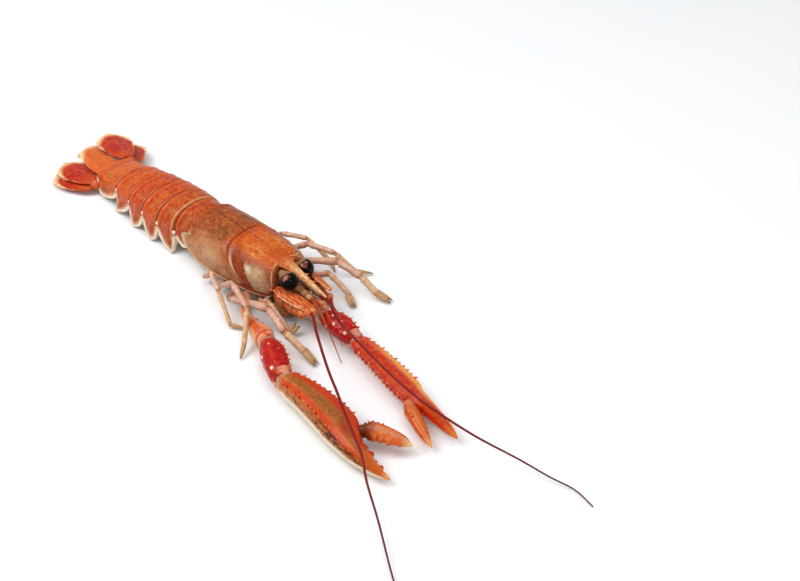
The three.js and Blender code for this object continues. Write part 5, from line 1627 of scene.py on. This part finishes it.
def leg_finish():
    """Walking legs: pink upper parts with red streaks, brown joints, cream shafts and tan tips."""
    f = Finish("leg_shell")
    along, turn, order = f.values("along", "turn", "order")
    near = f.value("near")
    wander = f.noise(0.7, 4, 0.6) - 0.5
    mottle = f.noise(0.55, 4, 0.72)
    grain = f.noise(2.8, 4, 0.6)
    t = turn + wander * 0.9
    color = f.layers(
        "#d0a48c",
        (t.near(1.2, 0.8) * 0.6, "#c2765c"),
        (t.near(3.6, 0.9) * 0.6, "#b77460"),
        (mottle.rising(0.5, 0.62) * 0.6, "#e8d0be"),
        (t.near(0.9, 0.3) * mottle.rising(0.56, 0.44) * 0.75, "#ad4c38"),
        (t.near(3.5, 0.35) * mottle.rising(0.44, 0.56) * 0.6, "#a0563e"),
        (order.rising(0.6, 0.72) * 0.85, "#d9b892"),
        (order.rising(0.6, 0.72) * mottle.rising(0.5, 0.4) * 0.6, "#c98a5a"),
        (order.rising(0.85, 1.0) * 0.8, "#b99264"),
        (order.rising(0.85, 1.0) * along.rising(0.6, 1.0) * 0.8, "#7d5a3a"),
        (near * near * (0.55 + wander) * 0.95, "#8c5436"),
        (near.near(0.45, 0.25) * 0.4, "#c9623e"))
    return f.surface(color, roughness=0.33 + grain * 0.2, coat=0.18, bump=grain * 0.5 + wander + mottle * 0.4,
                     depth=0.14,
                     coat_roughness=0.15, subsurface_weight=0.15, subsurface_scale=0.001)


def spike_finish(name, *stops):
    """Spines and warts: a colour that wanders slowly from one to the next."""
    f = Finish(name)
    color = f.ramp(f.noise(0.35, 2), *stops)
    return f.surface(color, roughness=0.28 + f.noise(4.0) * 0.15, coat=0.24, bump=f.noise(5.0, 2), depth=0.05,
                     coat_roughness=0.12)


def hair_finish(name, *stops):
    f = Finish(name)
    return f.surface(f.ramp(f.noise(0.6, 3), *stops), roughness=0.55 + f.noise(3.0) * 0.2)


# ---- What grows on the animal ----

def lobe_rows():
    """Fine hairs along the rims of the tail's side lobes, and a pale knob at each hinge."""
    hairs, knobs = [], []
    for number, (front, rear, front_width, rear_width, _, _, _, _, lean) in enumerate(TAIL_SEGMENTS):
        shares = np.linspace(0.12, 0.97, 46)
        low = line_at(lobe_edge(number)[1], shares)
        for side in (-1, 1):
            drop = 1 - low / WIDEST
            feet = np.stack([mixed(front, rear, shares) + lean * np.sin(np.pi * shares) * drop,
                             side * (mixed(front_width, rear_width, shares) - 0.7 + LOBE_FLARE * drop),
                             low + 0.1], -1)
            sway = 0.3 * np.sin(np.arange(len(shares)) * 2.7)
            facing = unit(np.stack([-0.5 + sway, np.full(len(shares), 0.5 * side),
                                    -0.75 * np.clip(low / 2, 0, 1)], -1))
            hairs.append((feet, facing, 0.9, 0.05))
            if number:
                knobs.append((np.array([[front - 0.1, side * (front_width - 0.35), 9.6]]),
                              np.array([[-0.1, side, 0.1]]), 0.7, 0.8))
    return hairs, knobs


def felt_coat(form):
    """Where the near palm is furry: the band between its edge and its middle ridge."""
    along, turn = form.paint["along"], form.paint["turn"]
    return turned(turn, 1.7, 0.32) * ramp_up(along, 0.04, 0.1) * (1 - ramp_up(along, 0.5, 0.6))


def grain_coat(form):
    """Where the carapace is finely grained: all of its outside, most of all in front of the groove."""
    along, turn = form.paint["along"], form.paint["turn"]
    front = (0.35 + 0.65 * ramp_up(along, 1.0, 1.2)) * (along < 2.0)
    return ramp_up(turn, 0.06, 0.2) * front * ramp_up(along, 0.1, 0.2)


# ---- The animal ----

def make_body(finish):
    shell = carapace_form()
    piece("carapace", shell.plus(rostrum_form()), finish["shell"])
    for number in range(len(TAIL_SEGMENTS)):
        form = segment_form(number)
        if 0 < number < LAST_SEGMENT:
            form = form.plus(*swimming_leg_forms(number))
        piece(f"tail_segment_{number + 1}", form, finish["tail"])
    for name, form in fan_forms().items():
        piece(name, form, finish["fan"])
    hairs, knobs = lobe_rows()
    stand("lobe_hairs", hairs, SPIKES, finish["pale_hair"], "tail_shell", Seed=3, Spread=0.35, Bend=0.4,
          Hollow=0.0)
    stand("hinge_knobs", knobs, BEADS, finish["wart"], "tail_shell", Seed=4, Spread=0.1)
    fringe = [fringe_rows(plate, 0.8 if name == "telson" else 0.5) for name, plate in FAN_PLATES.items()]
    stand("fan_fringe", fringe, SPIKES, finish["fringe"], "tail_fan", Seed=5, Spread=0.22, Bend=0.25,
          Hollow=0.0)
    telson = FAN_PLATES["telson"]
    corners = [(telson.at([0.93], [w], 0.0), telson.run[None] / 24.0, 1.6, 0.4) for w in (-0.97, 0.97)]
    stand("telson_spines", corners, SPIKES, finish["dark_spike"], "tail_fan", Seed=6, Spread=0.0, Bend=0.0,
          Hollow=0.3)
    stand("shell_spines", shell_spines(), SPIKES, finish["pale_spike"], "shell", Seed=7, Spread=0.1,
          Bend=0.15, Hollow=0.5)
    base = mesh_of("shell_base", shell.points, shell.faces, {"coat": grain_coat(shell)})
    grown("shell_grains", base, COAT, finish["grain"], "shell", Seed=8, Spread=0.2,
          Bend=0.3, Hollow=0.3, Density=0.55e6, Length=0.22 * MM, Radius=0.16 * MM, Comb=(1.0, 0.0, 0.0))


def stalk_form(side):
    return sweep(STALKS[side], [(0, 1.6, 1.5), (0.4, 1.7, 1.7), (0.8, 2.3, 2.1), (1, 2.0, 1.8)], 24, 20)


def make_head(finish):
    for side in ("right", "left"):
        for kind, form, look, slot in (
                ("eye", eye_form, "eye", "eye"),
                ("eye_stalk", stalk_form, "stalk", "soft_shell"),
                ("antennal_scale", scale_form, "horn", "head_shell"),
                ("antenna_base", feeler_foot_form, "horn", "head_shell"),
                ("antenna", feeler_form, "feeler", "feeler"),
                ("antennule", short_feeler_form, "short_feeler", "antennule"),
                ("mouth_leg", mouth_leg_form, "mouth_leg", "mouth_leg")):
            piece(f"{kind}_{side}", form(side), finish[look])


def make_claws(finish):
    spikes, beads = [], []
    for side, claw in CLAWS.items():
        bigger = side == "right"
        hand = finish[f"claw_{side}"]
        inner = 0.0 if bigger else math.pi
        palm = palm_form(claw, inner)
        finger = finger_form(claw, math.pi - inner).painted(thumb=1.0)
        piece(f"claw_arm_{side}", arm_form(claw), finish["arm"])
        piece(f"claw_wrist_{side}", wrist_form(claw), finish["wrist"])
        piece(f"claw_palm_{side}", palm, hand)
        piece(f"claw_finger_{side}", finger, hand)
        spikes += claw_spikes(claw, bigger)
        beads += claw_beads(claw, bigger)
        if bigger:
            base = mesh_of("palm_base", palm.points, palm.faces, {"coat": felt_coat(palm)})
            grown("palm_felt", base, COAT, finish["felt"], "claw", Seed=9, Spread=0.5, Bend=0.5, Hollow=0.0,
                  Density=8.0e6, Length=0.85 * MM, Radius=0.05 * MM, Comb=(1.2, 0.0, 0.0))
    stand("claw_spines", spikes, SPIKES, finish["red_spike"], "claw", Seed=10, Spread=0.15, Bend=0.2,
          Hollow=0.45)
    stand("claw_warts", beads, BEADS, finish["wart"], "claw", Seed=11, Spread=0.15)


def make_legs(finish):
    for side, legs in LEGS.items():
        for number, (joints, radii, pincer) in enumerate(legs, 1):
            piece(f"leg_{side}_{number}", leg_form(joints, radii, pincer), finish["leg"])
    stand("leg_hairs", leg_hair_rows(), SPIKES, finish["brown_hair"], "leg", Seed=12, Spread=0.5, Bend=0.3,
          Hollow=0.0)


def make_studio():
    """Plain pale floor, soft lights and the camera where the photograph was taken from."""
    f = Finish("pale_floor")
    floor_mesh = bpy.data.meshes.new("floor")
    far = 2.5
    floor_mesh.from_pydata([(-far, -far, 0), (far, -far, 0), (far, far, 0), (-far, far, 0)], [],
                           [(0, 1, 2, 3)])
    pale = f.ramp(f.noise(0.01, 1), (0.0, "#f4f6f8"), (1.0, "#f8f8f8"))
    floor_mesh.materials.append(f.surface(pale, roughness=0.6))
    floor = bpy.data.objects.new("floor", floor_mesh)
    scene.collection.objects.link(floor)

    world = bpy.data.worlds.new("studio_air")
    world.use_nodes = True
    world.node_tree.nodes["Background"].inputs["Color"].default_value = (0.96, 0.98, 1.0, 1.0)
    world.node_tree.nodes["Background"].inputs["Strength"].default_value = 0.52
    scene.world = world

    middle = Vector((0.03, -0.01, 0.0))
    for name, place, size, power in (
            ("key_light", (-0.32, -0.42, 0.8), 0.65, 6.0),
            ("top_light", (0.1, 0.12, 0.9), 0.6, 2.3),
            ("side_light", (0.65, -0.25, 0.5), 0.25, 1.0)):
        light = bpy.data.lights.new(name, "AREA")
        light.shape, light.size, light.energy = "DISK", size, power
        lamp = bpy.data.objects.new(name, light)
        lamp.location = Vector(place) + middle
        lamp.rotation_mode = "QUATERNION"
        lamp.rotation_quaternion = (middle - lamp.location).to_track_quat("-Z", "Y")
        scene.collection.objects.link(lamp)

    azimuth, elevation = math.radians(45.0), math.radians(37.6)
    distance, target = 0.421, Vector((0.049, 0.0324, 0.0))
    back = Vector((math.sin(azimuth) * math.cos(elevation), -math.cos(azimuth) * math.cos(elevation),
                   math.sin(elevation)))
    right = Vector((math.cos(azimuth), math.sin(azimuth), 0.0))
    view = bpy.data.cameras.new("camera")
    view.sensor_width, view.lens = 36.0, 51.75
    camera = bpy.data.objects.new("camera", view)
    turn = Matrix((right, back.cross(right), back)).transposed().to_4x4()
    camera.matrix_world = Matrix.Translation(target + back * distance) @ turn
    scene.collection.objects.link(camera)
    scene.camera = camera
    scene.view_settings.view_transform = "Standard"


SPIKES = standing_tree("spikes_on_points", spike_shape, Bend="Float", Hollow="Float")
BEADS = standing_tree("beads_on_points", bead_shape)
COAT = coat_tree()
FINISHES = {
    "shell": shell_finish(), "tail": tail_finish(), "fan": fan_finish(), "eye": eye_finish(),
    "stalk": stalk_finish(), "horn": horn_finish(), "feeler": feeler_finish(),
    "short_feeler": short_feeler_finish(), "mouth_leg": mouth_leg_finish(), "arm": arm_finish(),
    "wrist": wrist_finish(), "claw_right": near_claw_finish(), "claw_left": far_claw_finish(),
    "leg": leg_finish(),
    "red_spike": spike_finish("red_spike", (0.35, "#c02a17"), (0.5, "#cf4a22"), (0.65, "#e08a4c")),
    "pale_spike": spike_finish("pale_spike", (0.35, "#c4622c"), (0.65, "#dfa066")),
    "dark_spike": spike_finish("dark_spike", (0.3, "#2c1410"), (0.7, "#5a2a1c")),
    "wart": spike_finish("white_wart", (0.35, "#efc9a4"), (0.65, "#f6e6d0")),
    "grain": spike_finish("shell_grain", (0.35, "#a8481f"), (0.65, "#cf7f46")),
    "pale_hair": hair_finish("pale_hair", (0.3, "#c9a878"), (0.7, "#e9d9bc")),
    "fringe": hair_finish("fan_fringe_hair", (0.3, "#e0b070"), (0.7, "#f2dcae")),
    "felt": hair_finish("olive_felt", (0.3, "#6a4a28"), (0.7, "#c08a58")),
    "brown_hair": hair_finish("brown_hair", (0.3, "#6b4a2c"), (0.7, "#a67c50"))}

make_studio()
make_body(FINISHES)
make_head(FINISHES)
make_claws(FINISHES)
make_legs(FINISHES)
